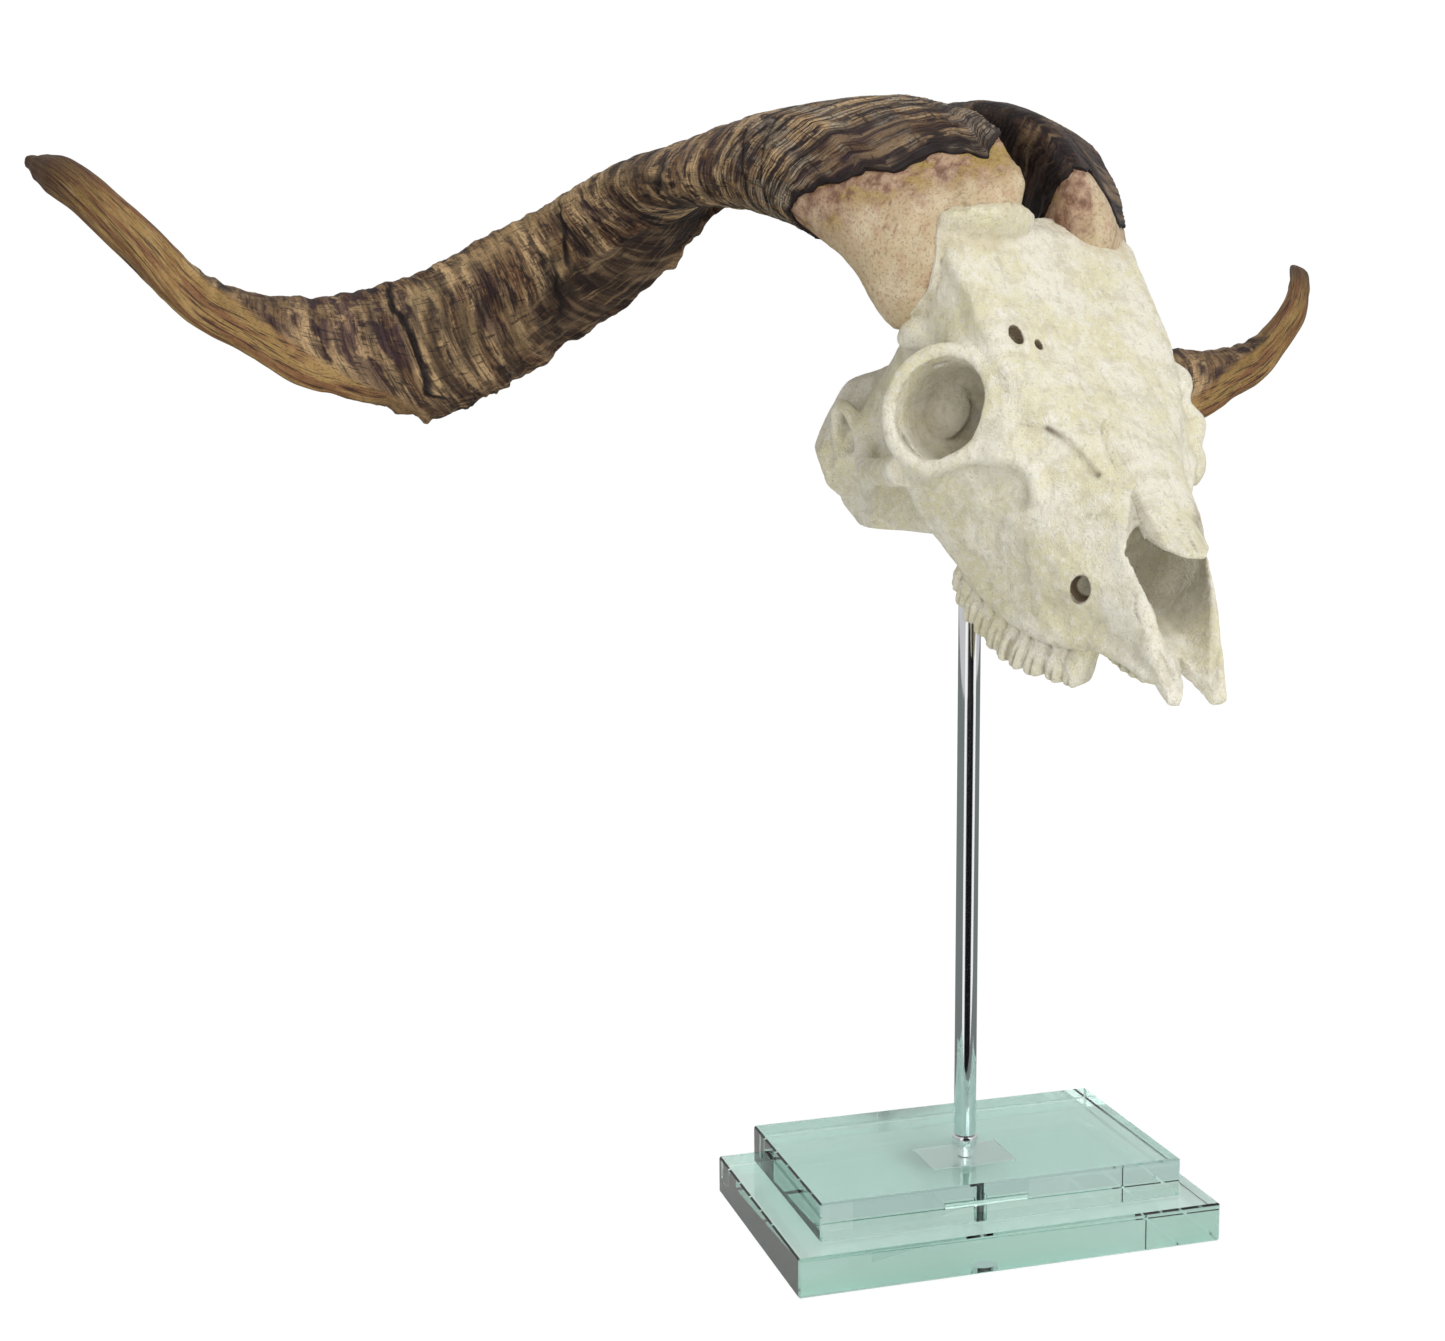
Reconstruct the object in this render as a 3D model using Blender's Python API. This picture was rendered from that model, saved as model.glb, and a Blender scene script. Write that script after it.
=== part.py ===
"""Life-size cast of a billy goat's skull on a chromed rod and a stepped glass base.

World frame: metres, +Z up, origin at the middle of the base's underside.
The base is long along X and the skull looks towards -Y.
The skull has a frame of its own, in which its sizes are given in millimetres:
X to the animal's right, Y to the nose, Z up when it stands level on its palate,
with Y = 0 at the eye sockets and Z = 0 near the tips of the cheek teeth.
SKULL_POSE turns that frame onto the rod, nose down.
"""
from collections import namedtuple
from math import cos, exp, pi, radians, sin

import bmesh
import bpy
import numpy as np
from mathutils import Matrix, Vector

MM = 0.001
GAP = 0.3

# Pose of the skull on its rod
SKULL_ORIGIN = (4.9, -27.1, 302.9)
SKULL_YAW = 11.0
SKULL_ROLL = 3.0
NOSE_DOWN = 24.0
SKULL_POSE = (Matrix.Translation(Vector(SKULL_ORIGIN) * MM)
              @ Matrix.Rotation(radians(180.0 + SKULL_YAW), 4, "Z")
              @ Matrix.Rotation(radians(-SKULL_ROLL), 4, "Y")
              @ Matrix.Rotation(radians(-NOSE_DOWN), 4, "X"))

# Stand
LOWER_GLASS = (199.7, 121.5, 17.85)
UPPER_GLASS = (172.1, 97.3, 17.85)
GLASS_EDGE = 0.8
PLATE = (40.0, 25.0, 1.0)
BOLT_DIAMETER = 6.0
BOLT_HEAD_DIAMETER = 12.0
BOLT_HEAD_HEIGHT = 5.0
BOLT_REACH = 12.0
COLLAR_DIAMETER = 11.6
COLLAR_HEIGHT = 4.6
ROD_DIAMETER = 10.0
ROD_Y = -2.8
ROD_IN_SKULL = 30.0
UNDERSIDE_HEIGHT = 319.0
UNDERSIDE_FRONT = -33.0
UNDERSIDE_CUT = 300.0

# Skull, by sections across its length
Section = namedtuple("Section", "y top crown side girth floor base")
HEAD_SECTIONS = (
    Section(y=-124, top=34, crown=14, side=13, girth=28.5, floor=9, base=16),
    Section(y=-117, top=40, crown=24, side=2, girth=36, floor=2, base=22),
    Section(y=-105, top=49, crown=20, side=4, girth=40.5, floor=-8, base=25),
    Section(y=-95, top=58, crown=18, side=-2, girth=39, floor=-18, base=24),
    Section(y=-80, top=80, crown=20, side=30, girth=39, floor=-20, base=25),
    Section(y=-68, top=116, crown=28, side=46, girth=39, floor=-16, base=28),
    Section(y=-58, top=139, crown=43, side=86, girth=45, floor=-12, base=29),
    Section(y=-45, top=137, crown=46, side=88, girth=49, floor=-4, base=26),
    Section(y=-22, top=125, crown=44, side=90, girth=49, floor=6, base=24),
    Section(y=2, top=113, crown=42, side=80, girth=52, floor=12, base=28),
    Section(y=24, top=101, crown=34, side=64, girth=50, floor=12, base=31),
    Section(y=44, top=92, crown=24, side=50, girth=43, floor=12, base=31),
    Section(y=65, top=84, crown=16, side=42, girth=36, floor=15, base=28),
    Section(y=86, top=75, crown=13, side=41, girth=28, floor=20, base=23),
    Section(y=92, top=64, crown=16, side=41, girth=25.5, floor=21.5, base=20),
    Section(y=110, top=50, crown=15, side=38, girth=19.5, floor=23, base=16),
    Section(y=127, top=34, crown=13, side=29, girth=17, floor=22.5, base=16),
    Section(y=139, top=24, crown=10.5, side=21, girth=14.5, floor=17.5, base=12.5),
)
VOXEL = 1.5
CLAY_PASSES = 3
CUT_PASSES = 2
SKULL_TRIANGLES = 6000
BROW_RADII = (27, 25, 19)
BROW_SET_BACK = 17.0

# Swellings and hollows of the bone, alike on both sides; a negative height presses in
Stroke = namedtuple("Stroke", "path radius height")
STROKES = (
    Stroke(((48, 26, 82), (48, 38, 72)), 15, 4.0),
    Stroke(((60, 8, 52), (53, 25, 65), (44, 38, 73), (37, 47, 69)), 8, 2.2),
    Stroke(((54, 20, 53), (47, 31, 58), (42, 40, 57)), 11, -3.2),
    Stroke(((50, 24, 40), (42, 42, 42)), 16, -1.6),
    Stroke(((41, 42, 40), (38, 45, 26)), 5, 1.5),
    Stroke(((38, 53, 43), (36, 54, 33)), 7, -1.6),
    Stroke(((30, 65, 22), (29, 70, 19), (26, 76, 18)), 4.5, 1.4),
    Stroke(((48, -50, 60), (46, -78, 44)), 14, -3.0),
    Stroke(((24, 60, 66), (22, 84, 58)), 10, -1.4),
)

# Seams between the bones: a point of the plane and its normal
FACE_SEAM = ((0, 17, 50), (0, 0.943, -0.332))
PREMAXILLA_SEAM = ((0, 107, 43), (0, 0.84, 0.54))
SHEATH_SEAM = ((54, -81, 141), (0.30, -0.48, 0.83))
SEAM_BLOCK = 700.0
SHEATH_SEAM_BLOCK = 200.0

# Cheek: the points that the plate below the eye socket is spanned by
CHEEK_RADIUS = 5.0
CHEEK = ((60, -12, 54), (47, -3, 29), (39, 8, 21), (31, 22, 12), (31, 40, 22), (34, 44, 44), (49, 22, 58))

# Cheekbone arch, the ear opening inside its end and the lip behind that
Bar = namedtuple("Bar", "path radii")
ARCH = Bar(path=((60, -8, 44), (54, -28, 33), (46, -52, 22), (41, -66, 20), (38, -78, 27), (40, -90, 33), (38, -102, 30)),
           radii=(7, 6.5, 5.5, 4.5, 4, 3.5, 3.5))
EAR_LIP = Bar(path=((39, -101, 29), (38, -99, 20), (36, -94, 10)), radii=(3.5, 3, 2.5))
EAR_HOLE = ((40, -86, 20), (6.0, 5.5, 7.5))

# Raised edge of the forehead round the front of the horn cores, and the ridges of gum and muzzle
FOREHEAD_EDGE = ((16, -50, 136), (30, -57, 137), (35, -58, 132), (41, -50, 105), (46, -49, 96), (50, -46, 86),
                 (20, -22, 112), (40, -20, 96))
FOREHEAD_RADIUS = 5.0
GUM = Bar(path=((27, 13, 12), (27, 35, 11), (26, 56, 12), (23, 76, 15), (19, 93, 20.5), (16.5, 110, 23), (16, 124, 24)),
          radii=(7, 7, 7, 5.5, 4, 3, 2.5))

# Eye sockets
ORBIT = (57.0, 2.0, 76.0)
ORBIT_FACING = (0.80, 0.47, 0.37)
ORBIT_HALF_HEIGHT = 21.0
ORBIT_HALF_WIDTH = 19.0
ORBIT_RIM = 4.2
ORBIT_DEPTH = 27.0
LEFT_RIM = ((-47, 2, 99), (-49.5, 11, 96), (-49, 18, 89), (-52.5, 22, 83), (-49, 28, 75), (-52.5, 31, 68), (-43, 41, 61))
LEFT_RIM_RADII = (4, 5.5, 3, 4.5, 3, 4.5, 3.5)

# Holes: the nerve openings of brow and cheek, and the slit beside the nasal bones
BROW_HOLES = (((34, 4, 110), (3.0, 4.6, 6)), ((25, 8, 108), (1.8, 2.4, 4)))
CHEEK_HOLE = ((26, 82.5, 39), (4.6, 5.4, 7), (0.75, 0.6, 0.1))
SLIT = ((33, 40, 86.5), (29, 47, 85), (26, 55, 81.5), (21.5, 64, 78.5))
SLIT_RADII = (0.8, 1.8, 2.6, 1.4)

# Nose: half width, floor and roof of the opening along its length
Airway = namedtuple("Airway", "y half low high")
NOSE_AIRWAY = (
    Airway(y=70, half=6, low=42, high=58),
    Airway(y=76, half=13, low=37, high=66),
    Airway(y=86, half=18, low=33, high=69),
    Airway(y=92, half=19, low=32.5, high=82),
    Airway(y=110, half=15, low=33.5, high=82),
    Airway(y=127, half=11.5, low=28, high=70),
    Airway(y=152, half=8, low=20, high=60),
)
CLEFT = ((119, 0.6), (126, 2.4), (133, 5.4), (139, 7.8), (152, 12))
Nasal = namedtuple("Nasal", "y top half")
NASAL_SECTIONS = (
    Nasal(y=40, top=94.5, half=7),
    Nasal(y=48, top=91.5, half=14),
    Nasal(y=60, top=87.0, half=15.5),
    Nasal(y=76, top=80.5, half=14),
    Nasal(y=92, top=74.5, half=14),
    Nasal(y=102, top=71.0, half=10.5),
    Nasal(y=109, top=68.8, half=4.5),
)
NASAL_THICKNESS = 2.8
NASAL_ARCH = 6.0
NOSE_LEAN = 3.0
NOSE_LEAN_START = 60.0
NOSE_LEAN_LENGTH = 80.0

# Cheek teeth: the curve of their tips and the widths of their columns from the back
TOOTH_TIPS = ((32, 7, -1), (33, 22, -8), (33, 38, -10.5), (32, 55, -11), (29, 70, -8.5), (25, 83, -5), (22, 92, -1))
TOOTH_COLUMNS = (7, 9, 9, 9.5, 9.5, 8, 7.5, 10.5, 10, 9)
TOOTH_DEPTH = 12.0
TOOTH_PLAN = ((-1, -1), (1, -1), (1, 0.62), (0.4, 1), (-0.4, 1), (-1, 0.62))
ToothLevel = namedtuple("ToothLevel", "height along depth out")
TOOTH_LEVELS = (
    ToothLevel(height=22, along=0.85, depth=0.6, out=-2),
    ToothLevel(height=8, along=1.04, depth=1.0, out=0),
    ToothLevel(height=2.5, along=1.02, depth=0.92, out=0),
    ToothLevel(height=0, along=0.5, depth=0.5, out=2),
)

# Horns: the path of the right one, and its half sizes along that path
HORN_PATH = (
    (35, -54, 121), (46, -84, 127), (55, -126, 129), (66, -159, 121), (82, -192, 104), (94, -226, 80),
    (115, -243, 49), (153, -242, 22), (201, -225, 7), (252, -219, 4), (298, -221, 15), (329, -233, 38),
    (351, -258, 51), (365, -281, 52),
)
HORN_TWIST = (88.0, 292.0)
Girth = namedtuple("Girth", "along keel heel half")
HORN_GIRTH = (
    Girth(along=0.00, keel=46.0, heel=39.0, half=22.5),
    Girth(along=0.07, keel=55.0, heel=31.0, half=23.7),
    Girth(along=0.18, keel=54.0, heel=36.0, half=23.6),
    Girth(along=0.31, keel=56.0, heel=28.8, half=15.6),
    Girth(along=0.40, keel=54.0, heel=28.5, half=15.5),
    Girth(along=0.48, keel=48.5, heel=27.0, half=14.2),
    Girth(along=0.63, keel=44.5, heel=21.9, half=12.3),
    Girth(along=0.665, keel=34.5, heel=19.9, half=11.8),
    Girth(along=0.71, keel=29.0, heel=16.9, half=11.4),
    Girth(along=0.79, keel=17.0, heel=12.3, half=10.3),
    Girth(along=0.87, keel=12.5, heel=9.9, half=10.4),
    Girth(along=0.93, keel=9.0, heel=7.5, half=9.5),
    Girth(along=0.965, keel=8.5, heel=7.0, half=9.2),
    Girth(along=0.985, keel=6.5, heel=5.5, half=7.2),
    Girth(along=1.00, keel=3.5, heel=3.0, half=4.0),
)
HORN_PINCH = 0.35
HORN_SIDES = 16
HORN_STEPS = 5
HORN_FRONT = ((0.0, 0.45), (0.25, 0.75), (0.6, 0.93))
HORN_FRONT_LENGTH = 14.0
CORE_GROW = -1.0

# The left horn is fuller near its base and slimmer at its tip
LEFT_SWELL = 11.0
SWELL_CENTRE = 0.16
SWELL_WIDTH = 0.08
LEFT_SLIM = 2.4
SLIM_START = 0.78
SLIM_LENGTH = 0.06

# Colours, linear RGB
BONE = (0.78, 0.73, 0.62)
CORE_BONE = (0.58, 0.43, 0.34)
HORN = (0.30, 0.19, 0.10)
CHROME = (0.75, 0.76, 0.78)
STEEL = (0.16, 0.16, 0.17)
GLASS = (0.55, 0.78, 0.72)


def mm(point):
    """A point in millimetres as a vector in metres."""
    return Vector(point) * MM


def clear_scene():
    for old in list(bpy.data.objects):
        bpy.data.objects.remove(old, do_unlink=True)


def material(name, colour, roughness, metallic=0.0):
    made = bpy.data.materials.new(name)
    made.use_nodes = True
    shader = made.node_tree.nodes["Principled BSDF"]
    shader.inputs["Base Color"].default_value = (*colour, 1.0)
    shader.inputs["Roughness"].default_value = roughness
    shader.inputs["Metallic"].default_value = metallic
    return made


def add_object(name, mesh):
    made = bpy.data.objects.new(name, mesh)
    bpy.context.scene.collection.objects.link(made)
    return made


def mesh_from(name, build):
    """An object whose mesh is filled by build(bm), with its faces pointing out."""
    bm = bmesh.new()
    build(bm)
    bmesh.ops.recalc_face_normals(bm, faces=bm.faces)
    if bm.calc_volume(signed=True) < 0:
        bmesh.ops.reverse_faces(bm, faces=bm.faces)
    mesh = bpy.data.meshes.new(name)
    bm.to_mesh(mesh)
    bm.free()
    return add_object(name, mesh)


def curve_through(points, steps):
    """Points of a smooth curve through the given points, steps to each span."""
    vectors = [Vector(p) for p in points]
    ends = [2 * vectors[0] - vectors[1]] + vectors + [2 * vectors[-1] - vectors[-2]]
    out = []
    for a, b, c, d in zip(ends, ends[1:], ends[2:], ends[3:]):
        for step in range(steps):
            t = step / steps
            out.append(0.5 * (2 * b + (c - a) * t + (2 * a - 5 * b + 4 * c - d) * t * t
                              + (3 * b - a - 3 * c + d) * t ** 3))
    out.append(vectors[-1])
    return out


def loop_through(points, steps):
    """The closed form of curve_through."""
    count = len(points)
    vectors = [Vector(p) for p in points]
    out = []
    for i in range(count):
        a, b, c, d = (vectors[(i + k) % count] for k in (-1, 0, 1, 2))
        for step in range(steps):
            t = step / steps
            out.append(0.5 * (2 * b + (c - a) * t + (2 * a - 5 * b + 4 * c - d) * t * t
                              + (3 * b - a - 3 * c + d) * t ** 3))
    return out


def loft(name, rings):
    """A closed body through rings of equally many points, given in millimetres."""
    def build(bm):
        rows = [[bm.verts.new(mm(p)) for p in ring] for ring in rings]
        for low, high in zip(rows, rows[1:]):
            for i in range(len(low)):
                j = (i + 1) % len(low)
                bm.faces.new((low[i], low[j], high[j], high[i]))
        bm.faces.new(rows[0][::-1])
        bm.faces.new(rows[-1])
    return mesh_from(name, build)


def ellipsoid(name, centre, radii, facing=(0, 0, 1), detail=3):
    """radii along two sideways axes and along facing."""
    turn = Vector(facing).to_track_quat("Z", "Y").to_matrix().to_4x4()
    place = Matrix.Translation(mm(centre)) @ turn @ Matrix.Diagonal((*mm(radii), 1.0))

    def build(bm):
        bmesh.ops.create_icosphere(bm, subdivisions=detail, radius=1.0, matrix=place)
    return mesh_from(name, build)


def hull(name, centres, radius):
    """The skin stretched round balls of one radius."""
    def build(bm):
        bmesh.ops.create_icosphere(bm, subdivisions=1, radius=radius * MM)
        ball = [v.co.copy() for v in bm.verts]
        bm.clear()
        for centre in centres:
            for spot in ball:
                bm.verts.new(spot + mm(centre))
        bmesh.ops.convex_hull(bm, input=bm.verts)
        bmesh.ops.delete(bm, geom=[v for v in bm.verts if not v.link_faces], context="VERTS")
    return mesh_from(name, build)


def box(name, centre, size):
    place = Matrix.Translation(mm(centre)) @ Matrix.Diagonal((*mm(size), 1.0))

    def build(bm):
        bmesh.ops.create_cube(bm, size=1.0, matrix=place)
    return mesh_from(name, build)


def cylinder(name, centre, diameter, height, sides=32):
    place = Matrix.Translation(mm(centre))

    def build(bm):
        bmesh.ops.create_cone(bm, cap_ends=True, segments=sides, radius1=diameter / 2 * MM,
                              radius2=diameter / 2 * MM, depth=height * MM, matrix=place)
    return mesh_from(name, build)


def tube(name, points, radii, sides=12, steps=4):
    """A round bar along a smooth path; one radius to each given point."""
    path = curve_through(points, steps)
    sizes = [v.x for v in curve_through([(r, 0, 0) for r in radii], steps)]
    rings = []
    side = None
    for i, centre in enumerate(path):
        ahead = (path[min(i + 1, len(path) - 1)] - path[max(i - 1, 0)]).normalized()
        side = ahead.orthogonal() if side is None else side
        side = (side - ahead * side.dot(ahead)).normalized()
        across = ahead.cross(side)
        rings.append([centre + sizes[i] * (side * cos(t) + across * sin(t))
                      for t in (2 * pi * k / sides for k in range(sides))])
    return loft(name, rings)


def copy_of(piece):
    return add_object(piece.name + ".copy", piece.data.copy())


def mirror_over(piece):
    """Turns a piece of the animal's right side into one of its left."""
    piece.data.transform(Matrix.Diagonal((-1, 1, 1, 1)))
    piece.data.flip_normals()


def mirrored(piece):
    """A copy of the piece on the animal's other side."""
    other = copy_of(piece)
    mirror_over(other)
    return other


def both(piece):
    return [piece, mirrored(piece)]


def bake(target):
    """Replaces an object's mesh by its evaluated one and drops its modifiers."""
    evaluated = target.evaluated_get(bpy.context.evaluated_depsgraph_get())
    mesh = bpy.data.meshes.new_from_object(evaluated)
    target.modifiers.clear()
    target.data = mesh


def remove(pieces):
    for piece in pieces:
        bpy.data.objects.remove(piece, do_unlink=True)


def combine(target, pieces, operation):
    """One Boolean of the target with a collection of pieces, which it uses up."""
    group = bpy.data.collections.new("pieces")
    for piece in pieces:
        group.objects.link(piece)
    change = target.modifiers.new("combine", "BOOLEAN")
    change.operation = operation
    change.solver = "MANIFOLD"
    change.operand_type = "COLLECTION"
    change.collection = group
    bake(target)
    bpy.data.collections.remove(group)
    remove(pieces)


def resurface(target, voxel, passes):
    """An even skin of voxel size, then smoothed."""
    skin = target.modifiers.new("skin", "REMESH")
    skin.mode = "VOXEL"
    skin.voxel_size = voxel * MM
    soften = target.modifiers.new("soften", "SMOOTH")
    soften.factor = 0.5
    soften.iterations = passes
    bake(target)


def thin_out(target, triangles):
    """Decimates to about the given number of triangles."""
    target.data.calc_loop_triangles()
    fewer = target.modifiers.new("fewer", "DECIMATE")
    fewer.ratio = min(1.0, triangles / len(target.data.loop_triangles))
    bake(target)


def keep_largest(target):
    """Drops every closed surface but the one with the largest box."""
    bm = bmesh.new()
    bm.from_mesh(target.data)
    left = set(bm.verts)
    shells = []
    while left:
        shell = set()
        front = [left.pop()]
        while front:
            vert = front.pop()
            shell.add(vert)
            for edge in vert.link_edges:
                other = edge.other_vert(vert)
                if other in left:
                    left.remove(other)
                    front.append(other)
        shells.append(shell)
    shells.sort(key=len)
    bmesh.ops.delete(bm, geom=[v for shell in shells[:-1] for v in shell], context="VERTS")
    bmesh.ops.triangulate(bm, faces=bm.faces)
    bm.to_mesh(target.data)
    bm.free()


def place_on_rod(target):
    target.data.transform(SKULL_POSE)


def finish(target, name, look):
    """Names the node, gives it its material and rounds its shading."""
    target.name = name
    target.data.name = name
    target.data.materials.clear()
    target.data.materials.append(look)
    target.data.shade_smooth()
    target.data.set_sharp_from_angle(angle=radians(35))


def half_space(seam, side, back=0.0, size=SEAM_BLOCK):
    """A block on one side of a seam's plane, its face drawn back from the plane."""
    point, normal = Vector(seam[0]), Vector(seam[1]).normalized()
    centre = point + side * normal * (size / 2 + back)
    turn = normal.to_track_quat("Z", "Y").to_matrix().to_4x4()
    place = Matrix.Translation(mm(centre)) @ turn @ Matrix.Diagonal((*mm((size, size, size)), 1.0))

    def build(bm):
        bmesh.ops.create_cube(bm, size=1.0, matrix=place)
    return mesh_from("half", build)


def sculpt(target, strokes):
    """Raises or presses the skin along short paths, alike on both sides."""
    mesh = target.data
    points = np.empty(len(mesh.vertices) * 3, dtype=np.float32)
    normals = np.empty_like(points)
    mesh.vertices.foreach_get("co", points)
    mesh.vertex_normals.foreach_get("vector", normals)
    points = points.reshape(-1, 3) / MM
    normals = normals.reshape(-1, 3)
    folded = points * np.where(points[:, :1] < 0, (-1, 1, 1), (1, 1, 1))
    for stroke in strokes:
        nearest = np.full(len(points), np.inf)
        for spot in curve_through(stroke.path, 6):
            nearest = np.minimum(nearest, ((folded - np.array(spot)) ** 2).sum(axis=1))
        falloff = np.clip(1 - nearest / stroke.radius ** 2, 0, 1) ** 2
        points += normals * (stroke.height * falloff)[:, None]
    mesh.vertices.foreach_set("co", (points * MM).astype(np.float32).ravel())
    mesh.update()


def part_at(target, seam):
    """Parts a body with a thin cut; returns the piece on the normal's side."""
    ahead = copy_of(target)
    combine(ahead, [half_space(seam, -1, -GAP / 2)], "DIFFERENCE")
    combine(target, [half_space(seam, 1, -GAP / 2)], "DIFFERENCE")
    return ahead


def grown(target, by):
    """A copy whose skin is moved out along its normals."""
    bigger = copy_of(target)
    moves = [v.normal * by * MM for v in bigger.data.vertices]
    for vert, move in zip(bigger.data.vertices, moves):
        vert.co += move
    return bigger


def head_ring(section):
    """The closed outline of the head at one section."""
    half = (
        (section.crown, section.top - 1.5),
        ((section.crown + section.girth) / 2 + 1, (section.top * 2 + section.side) / 3),
        (section.girth, section.side),
        (section.base + (section.girth - section.base) * 0.3, (section.floor * 2 + section.side) / 3),
        (section.base, section.floor + 1),
    )
    right = [(x, section.y, z) for x, z in half]
    left = [(-x, section.y, z) for x, z in reversed(half)]
    return loop_through([(0, section.y, section.top)] + right + [(0, section.y, section.floor)] + left, 3)


def head_mass():
    """The plain body of the head, without sockets or openings."""
    return loft("head", [head_ring(section) for section in HEAD_SECTIONS])


def orbit_axes():
    facing = Vector(ORBIT_FACING).normalized()
    up = (Vector((0, 0, 1)) - facing * facing.z).normalized()
    return facing, up, up.cross(facing)


def orbit_rim(count=28, sides=10):
    """The raised ring round the right eye socket."""
    facing, up, fore = orbit_axes()
    tall = ORBIT_HALF_HEIGHT + ORBIT_RIM * 0.6
    wide = ORBIT_HALF_WIDTH + ORBIT_RIM * 0.6
    rings = []
    for i in range(count):
        a = 2 * pi * i / count
        out = up * tall * cos(a) + fore * wide * sin(a)
        radial = out.normalized()
        rings.append([Vector(ORBIT) + out + ORBIT_RIM * (radial * cos(t) + facing * sin(t))
                      for t in (2 * pi * k / sides for k in range(sides))])

    def build(bm):
        rows = [[bm.verts.new(mm(p)) for p in ring] for ring in rings]
        for low, high in zip(rows, rows[1:] + rows[:1]):
            for k in range(sides):
                j = (k + 1) % sides
                bm.faces.new((low[k], low[j], high[j], high[k]))
    return mesh_from("rim", build)


def socket_cutter():
    """The hollow of the right eye socket."""
    facing, up, fore = orbit_axes()
    rings = []
    for depth, scale in ((-8, 1.0), (0, 1.0), (9, 0.93), (18, 0.8), (ORBIT_DEPTH - 3, 0.55), (ORBIT_DEPTH, 0.3)):
        middle = Vector(ORBIT) - facing * depth
        rings.append([middle + scale * (up * ORBIT_HALF_HEIGHT * cos(t) + fore * ORBIT_HALF_WIDTH * sin(t))
                      for t in (2 * pi * k / 24 for k in range(24))])
    return loft("socket", rings)


def airway_cutter():
    """The hollow of the nose, open to the front and above the rostrum."""
    rings = []
    for cut in NOSE_AIRWAY:
        middle = cut.low + (cut.high - cut.low) * 0.35
        half = ((cut.half * 0.55, cut.low + 1), (cut.half, middle), (cut.half * 0.86, cut.high - 3))
        right = [(x, cut.y, z) for x, z in half]
        left = [(-x, cut.y, z) for x, z in reversed(half)]
        rings.append(loop_through([(0, cut.y, cut.low)] + right + [(0, cut.y, cut.high)] + left, 3))
    return loft("airway", rings)


def nasal_plate(grow=0.0, lift=0.0, inner=GAP / 2):
    """One nasal bone, or the seat for it when grown by the gap and lifted clear."""
    rings = []
    last = len(NASAL_SECTIONS) - 1
    for i, cut in enumerate(NASAL_SECTIONS):
        y = cut.y + (grow if i == last else -grow if i == 0 else 0.0)
        if i == last and lift:
            y += 20.0
        half = cut.half + grow
        upper = []
        lower = []
        for k in range(5):
            x = inner + (half - inner) * k / 4
            z = cut.top - NASAL_ARCH * (x / 14.0) ** 2
            upper.append((x, y, z + lift))
            lower.append((x, y, z - NASAL_THICKNESS * (1 - 0.25 * k / 4) - grow))
        rings.append(upper + lower[::-1])
    return loft("nasal", rings)


def tooth_row():
    """The right row of cheek teeth, as one block to each column of a crown."""
    path = curve_through(TOOTH_TIPS, 8)
    total = sum((b - a).length for a, b in zip(path, path[1:]))
    scale = total / sum(TOOTH_COLUMNS)
    up = Vector((0, 0, 1))
    made = []
    begin = 0.0
    for width in TOOTH_COLUMNS:
        end = begin + width * scale
        tip = point_along(path, (begin + end) / 2)
        run = point_along(path, end) - point_along(path, begin)
        run = Vector((run.x, run.y, 0)).normalized()
        out = run.cross(up)
        rings = []
        for level in TOOTH_LEVELS:
            middle = tip + up * level.height + out * (level.out - TOOTH_DEPTH / 2)
            rings.append([middle + run * a * level.along * width * scale / 2 + out * b * level.depth * TOOTH_DEPTH / 2
                          for a, b in TOOTH_PLAN])
        made.append(loft("tooth", rings))
        begin = end
    return made


def point_along(path, distance):
    """The point at a distance along a path of points."""
    for a, b in zip(path, path[1:]):
        span = (b - a).length
        if distance <= span:
            return a.lerp(b, distance / span)
        distance -= span
    return path[-1]


def cleft_cutter():
    """The gap between the two premaxillae, widening to the front."""
    rings = []
    for y, half in CLEFT:
        rings.append([(-half, y, 0), (half, y, 0), (half, y, 34), (-half, y, 34)])
    return loft("cleft", rings)


def nerve_holes():
    """Cutters for the holes of the right brow and cheek and the slit beside the nasal bone."""
    cutters = [ellipsoid("hole", centre, radii, (0, 0.4, 1), 2) for centre, radii in BROW_HOLES]
    cutters.append(ellipsoid("ear", *EAR_HOLE, detail=2))
    centre, radii, facing = CHEEK_HOLE
    cutters.append(ellipsoid("hole", centre, radii, facing, 2))
    cutters.append(tube("slit", SLIT, SLIT_RADII, 8))
    return cutters


def skull_clay(voxel):
    """Both halves of the skull in its own frame as one skin, without teeth or nasal bones."""
    body = head_mass()
    facing = orbit_axes()[0]
    orbit = Vector(ORBIT)
    pieces = []
    pieces += both(orbit_rim())
    pieces += both(ellipsoid("brow", orbit - facing * BROW_SET_BACK, BROW_RADII, facing))
    for bar in (ARCH, EAR_LIP, GUM):
        pieces += both(tube("bar", bar.path, bar.radii))
    pieces += both(hull("cheek", CHEEK, CHEEK_RADIUS))
    pieces += both(hull("forehead", FOREHEAD_EDGE, FOREHEAD_RADIUS))
    pieces.append(tube("left rim", LEFT_RIM, LEFT_RIM_RADII, 10))
    combine(body, pieces, "UNION")
    resurface(body, voxel, CLAY_PASSES)
    sculpt(body, STROKES)
    cutters = [socket_cutter()] + nerve_holes()
    combine(body, [piece for cutter in cutters for piece in both(cutter)] + [airway_cutter()], "DIFFERENCE")
    resurface(body, voxel, CUT_PASSES)
    return body


def horn_girth(along):
    """Half sizes of the horn's section at a fraction of its length."""
    for low, high in zip(HORN_GIRTH, HORN_GIRTH[1:]):
        if along <= high.along:
            t = (along - low.along) / (high.along - low.along)
            t = t * t * (3 - 2 * t)
            return [a + (b - a) * t for a, b in zip(low[1:], high[1:])]
    return list(HORN_GIRTH[-1][1:])


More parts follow.
